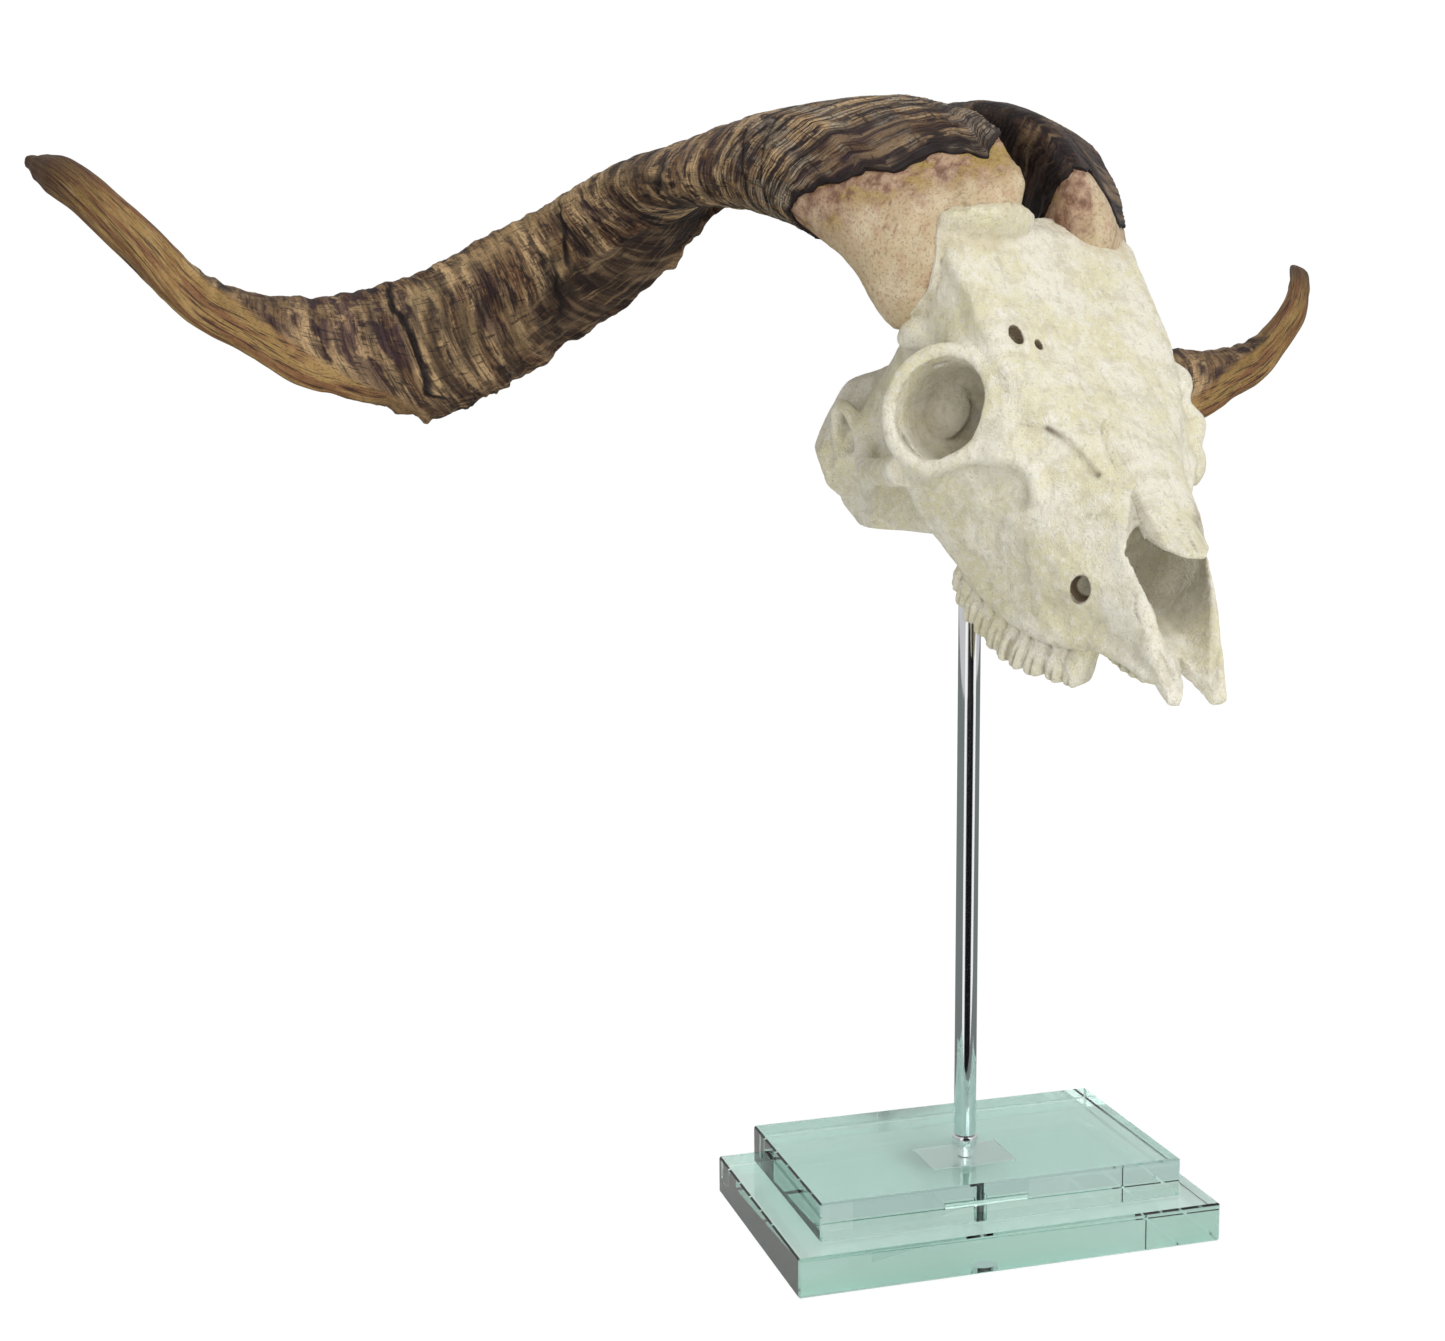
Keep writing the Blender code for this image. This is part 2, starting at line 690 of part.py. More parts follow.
def horn_rings(grow=0.0, swell=0.0, slim=0.0, sides=HORN_SIDES, steps=HORN_STEPS):
    """Sections of the right horn from its blunt front, sunk in the brow, to the tip.

    swell makes it fuller near the base and slim takes from the tip.
    """
    path = curve_through(HORN_PATH, steps)
    spans = [(b - a).length for a, b in zip(path, path[1:])]
    total = sum(spans)
    rings = []
    side = Vector((0, 1, 0))
    done = 0.0
    for i, centre in enumerate(path):
        ahead = (path[min(i + 1, len(path) - 1)] - path[max(i - 1, 0)]).normalized()
        side = (side - ahead * side.dot(ahead)).normalized()
        across = ahead.cross(side)
        along = done / total
        turn = radians(HORN_TWIST[0] + (HORN_TWIST[1] - HORN_TWIST[0]) * along)
        to_keel = side * cos(turn) + across * sin(turn)
        to_face = across * cos(turn) - side * sin(turn)
        keel, heel, half = horn_girth(along)
        fuller = swell * exp(-((along - SWELL_CENTRE) / SWELL_WIDTH) ** 2)
        less = slim * min(1.0, max(0.0, (along - SLIM_START) / SLIM_LENGTH))
        ring = []
        for k in range(sides):
            t = 2 * pi * k / sides
            reach = (keel + 0.7 * fuller if cos(t) > 0 else heel) + grow - less
            width = (half + 0.6 * fuller + grow - less) * (1 - HORN_PINCH * max(0.0, cos(t)))
            ring.append(centre + to_keel * reach * cos(t) + to_face * width * sin(t))
        if i == 0:
            for part, scale in HORN_FRONT:
                back = ahead * HORN_FRONT_LENGTH * (1 - part)
                rings.append([centre + (p - centre) * scale - back for p in ring])
        rings.append(ring)
        if i < len(spans):
            done += spans[i]
    return rings


def make_skull(bone):
    """Cranium, face, premaxillae and nasal bones; returns the cranium."""
    cranium = skull_clay(VOXEL)
    keep_largest(cranium)
    thin_out(cranium, SKULL_TRIANGLES)
    combine(cranium, [piece for tooth in tooth_row() for piece in both(tooth)], "UNION")
    seat = nasal_plate(grow=GAP, lift=12.0, inner=-1.0)
    combine(cranium, both(seat) + [cleft_cutter()], "DIFFERENCE")
    face = part_at(cranium, FACE_SEAM)
    muzzle = part_at(face, PREMAXILLA_SEAM)
    far_muzzle = copy_of(muzzle)
    middle = ((0, 0, 0), (1, 0, 0))
    combine(muzzle, [half_space(middle, -1, -GAP / 2)], "DIFFERENCE")
    combine(far_muzzle, [half_space(middle, 1, -GAP / 2)], "DIFFERENCE")
    nasal = nasal_plate()
    bones = {
        "skull_cranium": cranium,
        "skull_face": face,
        "skull_premaxilla_right": muzzle,
        "skull_premaxilla_left": far_muzzle,
        "skull_nasal_right": nasal,
        "skull_nasal_left": mirrored(nasal),
    }
    for piece in bones.values():
        lean_nose(piece)
        place_on_rod(piece)
    combine(cranium, [underside_cutter(), rod_bore()], "DIFFERENCE")
    for name, piece in bones.items():
        keep_largest(piece)
        finish(piece, name, bone)
    return cranium


def lean_nose(target):
    """Bends the front of the snout a little to the animal's right."""
    for vert in target.data.vertices:
        ahead = max(0.0, vert.co.y / MM - NOSE_LEAN_START) / NOSE_LEAN_LENGTH
        vert.co.x += NOSE_LEAN * ahead ** 2 * MM


def underside_cutter():
    """All that is below the flat underside of the braincase, behind the palate."""
    size = UNDERSIDE_CUT
    return box("under", (0, UNDERSIDE_FRONT + size / 2, UNDERSIDE_HEIGHT - size / 2), (size, size, size))


def rod_bore():
    bottom = UNDERSIDE_HEIGHT - 100
    top = UNDERSIDE_HEIGHT + ROD_IN_SKULL + GAP
    return cylinder("bore", (0, ROD_Y, (bottom + top) / 2), ROD_DIAMETER + 2 * GAP, top - bottom)


def make_horn_pair(cranium, core_look, horn_look):
    """The bony cores and the sheaths on them."""
    for side, swell, slim in (("right", 0.0, 0.0), ("left", LEFT_SWELL, LEFT_SLIM)):
        core = loft("core", horn_rings(CORE_GROW, swell, slim))
        combine(core, [half_space(SHEATH_SEAM, -1, GAP / 2, SHEATH_SEAM_BLOCK)], "INTERSECT")
        sheath = loft("sheath", horn_rings(0.0, swell, slim))
        combine(sheath, [half_space(SHEATH_SEAM, -1, -GAP / 2, SHEATH_SEAM_BLOCK + GAP)], "DIFFERENCE")
        for piece in (core, sheath):
            if side == "left":
                mirror_over(piece)
            place_on_rod(piece)
        combine(core, [grown(cranium, GAP)], "DIFFERENCE")
        keep_largest(core)
        keep_largest(sheath)
        finish(core, "horn_core_" + side, core_look)
        finish(sheath, "horn_" + side, horn_look)


def make_stand(chrome, glass, steel):
    """Two tiers of glass, the plate between them, and the bolt that holds collar and rod."""
    lower_top = LOWER_GLASS[2]
    upper_floor = lower_top + GAP
    upper_top = upper_floor + UPPER_GLASS[2]
    plate_top = upper_floor + PLATE[2]
    head_floor = lower_top - BOLT_HEAD_HEIGHT
    collar_floor = upper_top + GAP
    rod_floor = collar_floor + COLLAR_HEIGHT + GAP
    bolt_top = rod_floor + BOLT_REACH
    clear = BOLT_DIAMETER + 2 * GAP

    def bore(bottom, top, diameter):
        return upright("bore", bottom, top, diameter, 24)

    lower = slab("lower", LOWER_GLASS, 0.0)
    combine(lower, [bore(head_floor - GAP, lower_top + 5, BOLT_HEAD_DIAMETER + 2 * GAP)], "DIFFERENCE")
    upper = slab("upper", UPPER_GLASS, upper_floor)
    pocket = box("pocket", (0, ROD_Y, plate_top + GAP - 5), (PLATE[0] + 2 * GAP, PLATE[1] + 2 * GAP, 10))
    combine(upper, [pocket, bore(upper_floor - 5, upper_top + 5, clear)], "DIFFERENCE")
    plate = box("plate", (0, ROD_Y, (upper_floor + plate_top) / 2), PLATE)
    combine(plate, [bore(upper_floor - 5, plate_top + 5, clear)], "DIFFERENCE")
    bolt = upright("bolt", head_floor, lower_top, BOLT_HEAD_DIAMETER, 24)
    combine(bolt, [upright("shank", head_floor + 1, bolt_top, BOLT_DIAMETER, 24)], "UNION")
    collar = upright("collar", collar_floor, collar_floor + COLLAR_HEIGHT, COLLAR_DIAMETER, 32)
    combine(collar, [bore(collar_floor - 5, rod_floor + 5, clear)], "DIFFERENCE")
    rod = upright("rod", rod_floor, UNDERSIDE_HEIGHT + ROD_IN_SKULL, ROD_DIAMETER, 32)
    combine(rod, [bore(rod_floor - 5, bolt_top + GAP, clear)], "DIFFERENCE")
    finish(lower, "stand_base_lower", glass)
    finish(upper, "stand_base_upper", glass)
    finish(plate, "stand_plate", steel)
    finish(bolt, "stand_bolt", steel)
    finish(collar, "stand_collar", chrome)
    finish(rod, "stand_rod", chrome)


def upright(name, bottom, top, diameter, sides):
    """A cylinder on the rod's axis."""
    return cylinder(name, (0, ROD_Y, (bottom + top) / 2), diameter, top - bottom, sides)


def slab(name, size, floor):
    """A tier of glass with its edges eased."""
    made = box(name, (0, 0, floor + size[2] / 2), size)
    ease = made.modifiers.new("ease", "BEVEL")
    ease.width = GLASS_EDGE * MM
    ease.segments = 1
    bake(made)
    return made


def main():
    clear_scene()
    bone = material("cast bone", BONE, 0.6)
    core_bone = material("cast horn core", CORE_BONE, 0.7)
    horn = material("cast horn", HORN, 0.5)
    chrome = material("chromed steel", CHROME, 0.08, 1.0)
    steel = material("dark steel", STEEL, 0.35, 1.0)
    glass = material("glass", GLASS, 0.05)
    cranium = make_skull(bone)
    make_horn_pair(cranium, core_bone, horn)
    make_stand(chrome, glass, steel)


if __name__ == "__main__":
    main()
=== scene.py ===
"""Looks of the life-size cast of a billy goat's skull on its chromed rod and glass base.

Laid out as a Blender add-on: the settings hold sizes and colours, one operator makes each piece
or pair of pieces, and a panel in the sidebar lists them. Everything is in metres in the frame of
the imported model. The skull is shaped in millimetres in a frame of its own, X to the animal's
right, Y to the nose and Z up, and SKULL_POSE turns that frame onto the rod.
"""
from collections import namedtuple
from itertools import product
from math import cos, exp, pi, radians, sin

import bmesh
import bpy
import numpy as np
from mathutils import Matrix, Vector
from mathutils.kdtree import KDTree


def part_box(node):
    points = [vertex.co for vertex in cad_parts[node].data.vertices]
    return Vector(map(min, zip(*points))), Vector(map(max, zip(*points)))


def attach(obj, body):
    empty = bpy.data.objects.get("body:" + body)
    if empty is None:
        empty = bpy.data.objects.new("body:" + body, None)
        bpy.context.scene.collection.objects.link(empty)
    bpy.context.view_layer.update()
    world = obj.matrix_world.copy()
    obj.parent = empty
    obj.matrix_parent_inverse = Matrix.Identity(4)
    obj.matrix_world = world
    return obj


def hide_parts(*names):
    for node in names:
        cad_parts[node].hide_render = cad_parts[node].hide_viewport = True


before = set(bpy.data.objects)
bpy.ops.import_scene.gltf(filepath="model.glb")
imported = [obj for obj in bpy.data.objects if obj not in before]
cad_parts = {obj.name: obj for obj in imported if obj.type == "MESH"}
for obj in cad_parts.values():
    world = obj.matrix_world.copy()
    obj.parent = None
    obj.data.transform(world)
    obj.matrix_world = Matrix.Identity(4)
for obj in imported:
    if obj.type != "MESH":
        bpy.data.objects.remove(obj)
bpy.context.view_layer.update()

bl_info = {
    "name": "Goat skull cast on a glass base",
    "version": (1, 0, 0),
    "blender": (4, 5, 0),
    "location": "View3D > Sidebar > Goat skull",
    "description": "Makes the painted cast of a goat's skull, its horns, its stand and the studio round it",
    "category": "Add Mesh",
}

MM = 0.001
GAP = 0.3


def rows_of(kind, *rows):
    """The rows of a table as named tuples."""
    return tuple(kind(*row) for row in rows)


# Pose of the skull on its rod
SKULL_ORIGIN = (4.9, -27.1, 302.9)
SKULL_YAW = 11.0
SKULL_ROLL = 3.0
NOSE_DOWN = 24.0
SKULL_POSE = (Matrix.Translation(Vector(SKULL_ORIGIN) * MM)
              @ Matrix.Rotation(radians(180.0 + SKULL_YAW), 4, "Z")
              @ Matrix.Rotation(radians(-SKULL_ROLL), 4, "Y")
              @ Matrix.Rotation(radians(-NOSE_DOWN), 4, "X"))

# Stand
ROD_Y = -2.8
UNDERSIDE_HEIGHT = 319.0
UNDERSIDE_FRONT = -33.0
UNDERSIDE_CUT = 300.0

# Skull, by sections across its length
Section = namedtuple("Section", "y top crown side girth floor base")
HEAD_SECTIONS = rows_of(
    Section,
    (-124, 34, 14, 13, 28.5, 9, 16), (-117, 40, 24, 2, 36, 2, 22), (-105, 49, 20, 4, 40.5, -8, 25),
    (-95, 58, 18, -2, 39, -18, 24), (-80, 80, 20, 30, 39, -20, 25), (-68, 116, 28, 46, 39, -16, 28),
    (-58, 139, 43, 86, 45, -12, 29), (-45, 137, 46, 88, 49, -4, 26), (-22, 125, 44, 90, 49, 6, 24),
    (2, 113, 42, 80, 52, 12, 28), (24, 101, 34, 64, 50, 12, 31), (44, 92, 24, 50, 43, 12, 31),
    (65, 84, 16, 42, 36, 15, 28), (86, 75, 13, 41, 28, 20, 23), (92, 64, 16, 41, 25.5, 21.5, 20),
    (110, 50, 15, 38, 19.5, 23, 16), (127, 34, 13, 29, 17, 22.5, 16), (139, 24, 10.5, 21, 14.5, 17.5, 12.5),
)
CLAY_PASSES = 10
CUT_PASSES = 3
BROW_RADII = (27, 25, 19)
BROW_SET_BACK = 17.0

# Swellings and hollows of the bone, alike on both sides; a negative height presses in
Stroke = namedtuple("Stroke", "path radius height")
STROKES = rows_of(
    Stroke,
    (((48, 26, 82), (48, 38, 72)), 15, 4.0),
    (((60, 8, 52), (53, 25, 65), (44, 38, 73), (37, 47, 69)), 8, 2.2),
    (((54, 20, 53), (47, 31, 58), (42, 40, 57)), 11, -3.2), (((50, 24, 40), (42, 42, 42)), 16, -1.6),
    (((41, 42, 40), (38, 45, 26)), 5, 1.5), (((38, 53, 43), (36, 54, 33)), 7, -1.6),
    (((30, 65, 22), (29, 70, 19), (26, 76, 18)), 4.5, 1.4), (((48, -50, 60), (46, -78, 44)), 14, -3.0),
    (((24, 60, 66), (22, 84, 58)), 10, -1.4),
)

# Cheek: the points that the plate below the eye socket is spanned by
CHEEK_RADIUS = 5.0
CHEEK = ((60, -12, 54), (47, -3, 29), (39, 8, 21), (31, 22, 12), (31, 40, 22), (34, 44, 44), (49, 22, 58))

# Cheekbone arch, the ear opening inside its end and the lip behind that
Bar = namedtuple("Bar", "path radii")
ARCH = Bar(
    ((60, -8, 44), (54, -28, 33), (46, -52, 22), (41, -66, 20), (38, -78, 27), (40, -90, 33), (38, -102, 30)),
    (7, 6.5, 5.5, 4.5, 4, 3.5, 3.5))
EAR_LIP = Bar(((39, -101, 29), (38, -99, 20), (36, -94, 10)), (3.5, 3, 2.5))
EAR_HOLE = ((40, -86, 20), (6.0, 5.5, 7.5))

# Raised edge of the forehead round the front of the horn cores, and the ridges of gum and muzzle
FOREHEAD_EDGE = (
    (16, -50, 136), (30, -57, 137), (35, -58, 132), (41, -50, 105), (46, -49, 96), (50, -46, 86),
    (20, -22, 112), (40, -20, 96))
FOREHEAD_RADIUS = 5.0
GUM = Bar(
    ((27, 13, 12), (27, 35, 11), (26, 56, 12), (23, 76, 15), (19, 93, 20.5), (16.5, 110, 23), (16, 124, 24)),
    (7, 7, 7, 5.5, 4, 3, 2.5))

# Eye sockets
ORBIT = (57.0, 2.0, 76.0)
ORBIT_FACING = (0.80, 0.47, 0.37)
ORBIT_HALF_HEIGHT = 21.0
ORBIT_HALF_WIDTH = 19.0
ORBIT_RIM = 4.2
SOCKET_RINGS = ((-8, 1.0), (0, 1.0), (9, 0.93), (18, 0.8), (24.0, 0.55), (27.0, 0.3))
LEFT_ORBIT_RIM = Bar(
    ((-47, 2, 99), (-49.5, 11, 96), (-49, 18, 89), (-52.5, 22, 83), (-49, 28, 75), (-52.5, 31, 68),
     (-43, 41, 61)),
    (4, 5.5, 3, 4.5, 3, 4.5, 3.5))

# Holes: the nerve openings of brow and cheek, and the slit beside the nasal bones
BROW_HOLES = (((34, 4, 110), (3.0, 4.6, 6)), ((25, 8, 108), (1.8, 2.4, 4)))
CHEEK_HOLE = ((26, 82.5, 39), (4.6, 5.4, 7), (0.75, 0.6, 0.1))
SLIT = Bar(((33, 40, 86.5), (29, 47, 85), (26, 55, 81.5), (21.5, 64, 78.5)), (0.8, 1.8, 2.6, 1.4))

# Nose: half width, floor and roof of the opening along its length
Airway = namedtuple("Airway", "y half low high")
NOSE_AIRWAY = rows_of(
    Airway,
    (70, 6, 42, 58), (76, 13, 37, 66), (86, 18, 33, 69), (92, 19, 32.5, 82), (110, 15, 33.5, 82),
    (127, 11.5, 28, 70), (152, 8, 20, 60),
)
CLEFT_TOP = 34
CLEFT = ((119, 0.6), (126, 2.4), (133, 5.4), (139, 7.8), (152, 12))
Nasal = namedtuple("Nasal", "y top half")
NASAL_SECTIONS = rows_of(
    Nasal,
    (40, 94.5, 7), (48, 91.5, 14), (60, 87.0, 15.5), (76, 80.5, 14), (92, 74.5, 14), (102, 71.0, 10.5),
    (109, 68.8, 4.5),
)
NASAL_THICKNESS = 2.8
NASAL_THINNING = 0.25
NASAL_ARCH = 6.0
NASAL_ARCH_HALF = 14.0
NASAL_STEPS = 4
SEAT_RUN = 20.0
SEAT_LIFT = 12.0
NOSE_LEAN = 3.0
NOSE_LEAN_START = 60.0
NOSE_LEAN_LENGTH = 80.0

# Cheek teeth: the curve of their tips and the widths of their columns from the back
TOOTH_TIPS = (
    (32, 7, -1), (33, 22, -8), (33, 38, -10.5), (32, 55, -11), (29, 70, -8.5), (25, 83, -5), (22, 92, -1))
TOOTH_COLUMNS = (7, 9, 9, 9.5, 9.5, 8, 7.5, 10.5, 10, 9)
TOOTH_DEPTH = 12.0
TOOTH_PLAN = ((-1, -1), (1, -1), (1, 0.62), (0.4, 1), (-0.4, 1), (-1, 0.62))
ToothLevel = namedtuple("ToothLevel", "height along depth out")
TOOTH_LEVELS = rows_of(
    ToothLevel,
    (22, 0.85, 0.6, -2), (8, 1.04, 1.0, 0), (2.5, 1.02, 0.92, 0), (0, 0.5, 0.5, 2),
)

# Horns: the path of the right one, and its half sizes along that path
HORN_PATH = (
    (35, -54, 121), (46, -84, 127), (55, -126, 129), (66, -159, 121), (82, -192, 104), (94, -226, 80),
    (115, -243, 49), (153, -242, 22), (201, -225, 7), (252, -219, 4), (298, -221, 15), (329, -233, 38),
    (351, -258, 51), (365, -281, 52),
)
HORN_TWIST = (88.0, 292.0)
Girth = namedtuple("Girth", "along keel heel half")
HORN_GIRTH = rows_of(
    Girth,
    (0.00, 46.0, 39.0, 22.5), (0.07, 55.0, 31.0, 23.7), (0.18, 54.0, 36.0, 23.6), (0.31, 56.0, 28.8, 15.6),
    (0.40, 54.0, 28.5, 15.5), (0.48, 48.5, 27.0, 14.2), (0.63, 44.5, 21.9, 12.3), (0.665, 34.5, 19.9, 11.8),
    (0.71, 29.0, 16.9, 11.4), (0.79, 17.0, 12.3, 10.3), (0.87, 12.5, 9.9, 10.4), (0.93, 9.0, 7.5, 9.5),
    (0.965, 8.5, 7.0, 9.2), (0.985, 6.5, 5.5, 7.2), (1.00, 3.5, 3.0, 4.0),
)
MIDDLE_SECTION = (50.0, 29.0, 15.5)
HORN_STEPS = 36
HORN_PINCH = 0.35
HORN_FRONT = ((0.0, 0.45), (0.25, 0.75), (0.6, 0.93))
HORN_FRONT_LENGTH = 14.0
CORE_GROW = -1.0
CORE_CLEARANCE = 5.0

# The left horn is fuller near its base and slimmer at its tip
LEFT_SWELL = 11.0
SWELL_CENTRE = 0.16
SWELL_WIDTH = 0.08
SWELL_KEEL = 0.7
SWELL_HALF = 0.6
LEFT_SLIM = 2.4
SLIM_START = 0.78
SLIM_LENGTH = 0.06

# Finer forms that only the dressed skull has
FOREHEAD_TOP = (
    (45, -50, 120), (46, -46.2, 138), (36, -40.4, 143.5), (21, -40.4, 144.5), (10, -46, 142), (8, -50, 128),
    (30, -46, 118))
FOREHEAD_LUMPS = (
    (46, -45, 143), (34, -39, 148), (21, -39, 149), (10, -45, 146), (2, -50, 143), (-8, -54, 140),
    (-18, -52, 139), (-30, -48, 139))
FOREHEAD_LIP = Bar(
    ((18, -43, 148), (34, -42, 146.5), (45.5, -48, 141.5), (49, -45, 133), (50.5, -41, 126), (50, -38.5, 113),
     (51.5, -41, 105), (53, -45, 97)),
    (0.8, 1.6, 1.2, 2.0, 1.2, 1.9, 1.3, 0.9))
FINE_VOXEL = 0.8
FINE_STROKES = rows_of(
    Stroke,
    (((-3, -57, 143), (-11, -60, 144), (-18, -60, 141)), 7, -5.0),
    (((36, -50, 136), (46, -44, 112), (52, -42, 92)), 6, 1.1),
    (((52, 26, 66), (47, 36, 72), (41, 43, 73), (37, 48, 68), (36.5, 52, 62)), 5, 2.4),
    (((50, 28, 60), (43, 42, 63), (40, 46, 58)), 7, -2.8),
    (((45, 12, 100), (36, 30, 94), (33, 40, 88)), 9, 1.0), (((20, -20, 122), (14, 10, 112)), 16, -1.2),
    (((33, 40, 84), (27, 56, 78), (20, 68, 74)), 5, -0.9),
    (((30, 60, 50), (27, 80, 52), (20, 92, 50)), 8, -1.2),
    (((31, 20, 9), (31, 50, 8), (27, 75, 11)), 5, 0.8),
)
LOBE_SPACING = 4.9
ORBIT_LUMP_BACK = 23.0
ORBIT_LUMP_FORE = -8.0
ORBIT_LUMP_RADII = (11.0, 12.0, 4.5)
BoneSeam = namedtuple("BoneSeam", "path width strength")
BONE_SEAMS = rows_of(
    BoneSeam,
    (((0, 30, 99), (0, 60, 88), (0, 92, 75), (0, 109, 69)), 0.8, 1.0),
    (((0, -40, 138), (0, -10, 121), (0, 30, 99)), 0.8, 0.35),
    (((14, 48, 86.5), (15.5, 60, 82), (14, 76, 75), (14, 92, 69)), 0.8, 0.9),
    (((15.5, 85.5, 71), (19, 107, 46), (18, 114, 39), (14, 125, 34), (11, 132, 27)), 0.7, 0.9),
    (((34, 39, 86.5), (40, 33, 84), (47, 26, 84)), 0.6, 0.6),
    (((31, 46, 81), (25, 62, 74), (20, 70, 70)), 0.5, 0.5),
    (((40, 40, 60), (34, 58, 46), (30, 60, 30), (30, 56, 16)), 0.5, 0.35),
    (((38, 5.5, 122), (33, 8, 120)), 0.5, 0.7),
)

# Weathering of the bone: height, size and seed of each layer of its grain, smoothing passes that show its
# small and its wide hollows with the depth in mm that counts as full, for the paint's brown and painted
# shade, and depths of what is cut in
BONE_GRAIN = ((0.40, 13, 1), (0.24, 5, 2), (0.12, 2.2, 3))
NEAR_PASSES = 8
NEAR_FULL = 0.35
WIDE_PASSES = 90
WIDE_FULL = 2.2
SEAM_DEPTH = 0.5
GROOVE_DEPTH = 0.9
PIT_DEPTH = 0.22

# Sheaths: how finely the grid is drawn, the runs in mm over which a form sets in or ends, and lines by
# pairs of the angle from the keel and the run
HORN_AROUND = 200
HORN_ALONG = 640
CROWDING = 1.06
RING_LEAN = 16.0
RIDGE_SPACING = 11.5
LINE_SPACING = 2.9
BASE_END = (90, 150)
BLADE_START = (150, 190)
BLADE_END = (352, 372)
FOLD_START = (165, 195)
FOLD_END = (262, 300)
FACE_START = (330, 375)
FAR_FACE_START = (356, 400)
RIDGE_START = (345, 375)
ALL_FACE_START = (442, 470)
RINGS_END = (430, 500)
TIP_TAPER = 30
TIP_ROUND = 3.0
TIP_RINGS = 6
RIM_TURN_IN = ((2.6, -1.5), (1.5, -0.4), (0.6, 0.2))
NOISE_RADIUS = 34
RIM_RADIUS = 30
RIM_GRAIN = ((2.2, 9, 41), (1.5, 3.0, 42))
RIGHT_RIM = (
    (0, 20), (40, 26), (90, 40), (140, 58), (180, 71), (195, 72), (218, 61), (232, 54), (255, 45), (270, 41),
    (278, 33), (296, 30), (308, 24), (319, 16), (326, 13), (335, 18))
LEFT_RIM = (
    (0, 2), (40, 1), (70, 6), (100, 20), (140, 44), (180, 54), (220, 46), (250, 34), (280, 14), (296, 3),
    (308, 10), (322, 12), (341, 5))
Horn = namedtuple("Horn", "side rim swell slim")
HORNS = (Horn("right", RIGHT_RIM, 0.0, 0.0), Horn("left", LEFT_RIM, LEFT_SWELL, LEFT_SLIM))
TIP_RIDGE = ((30, 356), (49, 382), (64, 404), (82, 426), (84, 441))
FLANGE_FOLD = ((60, 175), (68, 185), (94, 204), (98, 244), (80, 300))
Crack = namedtuple("Crack", "spots width depth")
CRACKS = rows_of(
    Crack,
    (((176, 101), (210, 104), (244, 112)), 1.0, 0.9), (((176, 119), (232, 118)), 0.9, 0.9),
    (((190, 88), (216, 92), (262, 101)), 0.8, 0.7), (((116, 165), (180, 156), (246, 152)), 1.2, 1.0),
    (((98, 250), (150, 238), (202, 231)), 1.3, 1.1), (((60, 262), (110, 256)), 1.0, 0.7),
    (((36, 334), (41, 339), (64, 340), (82, 343), (112, 348), (156, 345)), 1.3, 1.3),
)
Patch = namedtuple("Patch", "run turn length spread weight")
DARK_SPOTS = rows_of(
    Patch,
    (50, 250, 16, 44, 1.1), (38, 300, 22, 36, 1.1), (100, 195, 12, 34, 0.5), (126, 205, 8, 30, 0.6),
    (160, 170, 16, 46, 0.7), (205, 150, 13, 44, 0.5), (236, 118, 10, 44, 0.6), (264, 74, 12, 40, 0.5),
    (300, 88, 9, 36, 0.6), (322, 60, 7, 26, 0.5), (358, 96, 13, 62, 1.0), (386, 104, 6, 40, 0.8),
    (410, 110, 7, 36, 0.8), (432, 112, 6, 30, 0.6), (528, 0, 16, 400, 0.9), (225, 40, 46, 24, 0.5),
)
OLIVE_SPOTS = rows_of(
    Patch,
    (90, 175, 30, 36, 0.5), (185, 190, 34, 34, 0.7), (235, 190, 20, 24, 0.9), (265, 168, 20, 24, 0.9),
    (296, 146, 20, 22, 0.9), (326, 128, 16, 18, 0.7), (362, 120, 20, 14, 0.7), (400, 114, 25, 14, 0.6),
    (252, 100, 9, 26, 0.8), (286, 64, 9, 22, 0.9), (312, 78, 7, 24, 0.8), (332, 96, 9, 60, 0.7),
    (400, 20, 45, 60, 0.6), (460, 0, 50, 400, 0.6),
)
PLUM_SPOTS = rows_of(
    Patch,
    (205, 132, 24, 34, 0.5), (300, 96, 14, 30, 0.5), (60, 255, 22, 60, 0.5), (362, 100, 20, 62, 0.9),
    (398, 100, 26, 50, 0.6), (524, 0, 20, 400, 0.8), (480, 46, 16, 34, 0.5), (140, 230, 22, 40, 0.4),
)
# the wide dark band at the base of the left horn is partly its own dark maroon and partly painted shade of
# the gap between the horns
LEFT_DARK_SPOTS = rows_of(
    Patch,
    (20, 0, 75, 400, 2.6), (100, 200, 30, 90, 0.7), (528, 0, 16, 400, 0.6), (440, 90, 20, 40, 0.6),
    (485, 0, 45, 400, 0.9),
)

# Where a horn is slimmer than its plain sections, in mm
SLIM_SPOTS = {
    "right": rows_of(
        Patch,
        (84, 165, 38, 45, 3.6), (118, 128, 26, 34, 3.0), (538, 60, 8, 400, 0.6), (172, 56, 22, 38, 7.0),
        (238, 30, 16, 30, -3.0), (188, 4, 14, 30, 8.0)),
    "left": rows_of(Patch, (84, 345, 20, 40, 5.0), (14, 272, 30, 36, 4.5)),
}

# Horn cores
CORE_AROUND = 150
CORE_ALONG = 170
CORE_LENGTH = 125.0
DARK_INSIDE = 21.0
PORE_DEPTH = 0.30
BLUSH_REACH = (1.0, 7.0)
BLUSH_SEARCH = 14
FAR_AWAY = 30.0
CORE_STAINS = rows_of(Patch, (66, 200, 14, 34, 1.1), (46, 235, 9, 24, 0.9), (22, 288, 8, 30, 0.5))

# Stand
ROD_FACETS = 96
ROD_LIP = 0.3
COLLAR_LIP = 0.6

# Photograph's camera: place in metres, angles in degrees, focal length in picture widths
CAMERA_PLACE = (-0.361854, -0.854706, 0.396815)
CAMERA_AZIMUTH = 16.1931
CAMERA_PITCH = -8.6068
CAMERA_ROLL = -0.4768
CAMERA_FOCAL = 2086.408 / 1445
SENSOR_WIDTH = 36.0
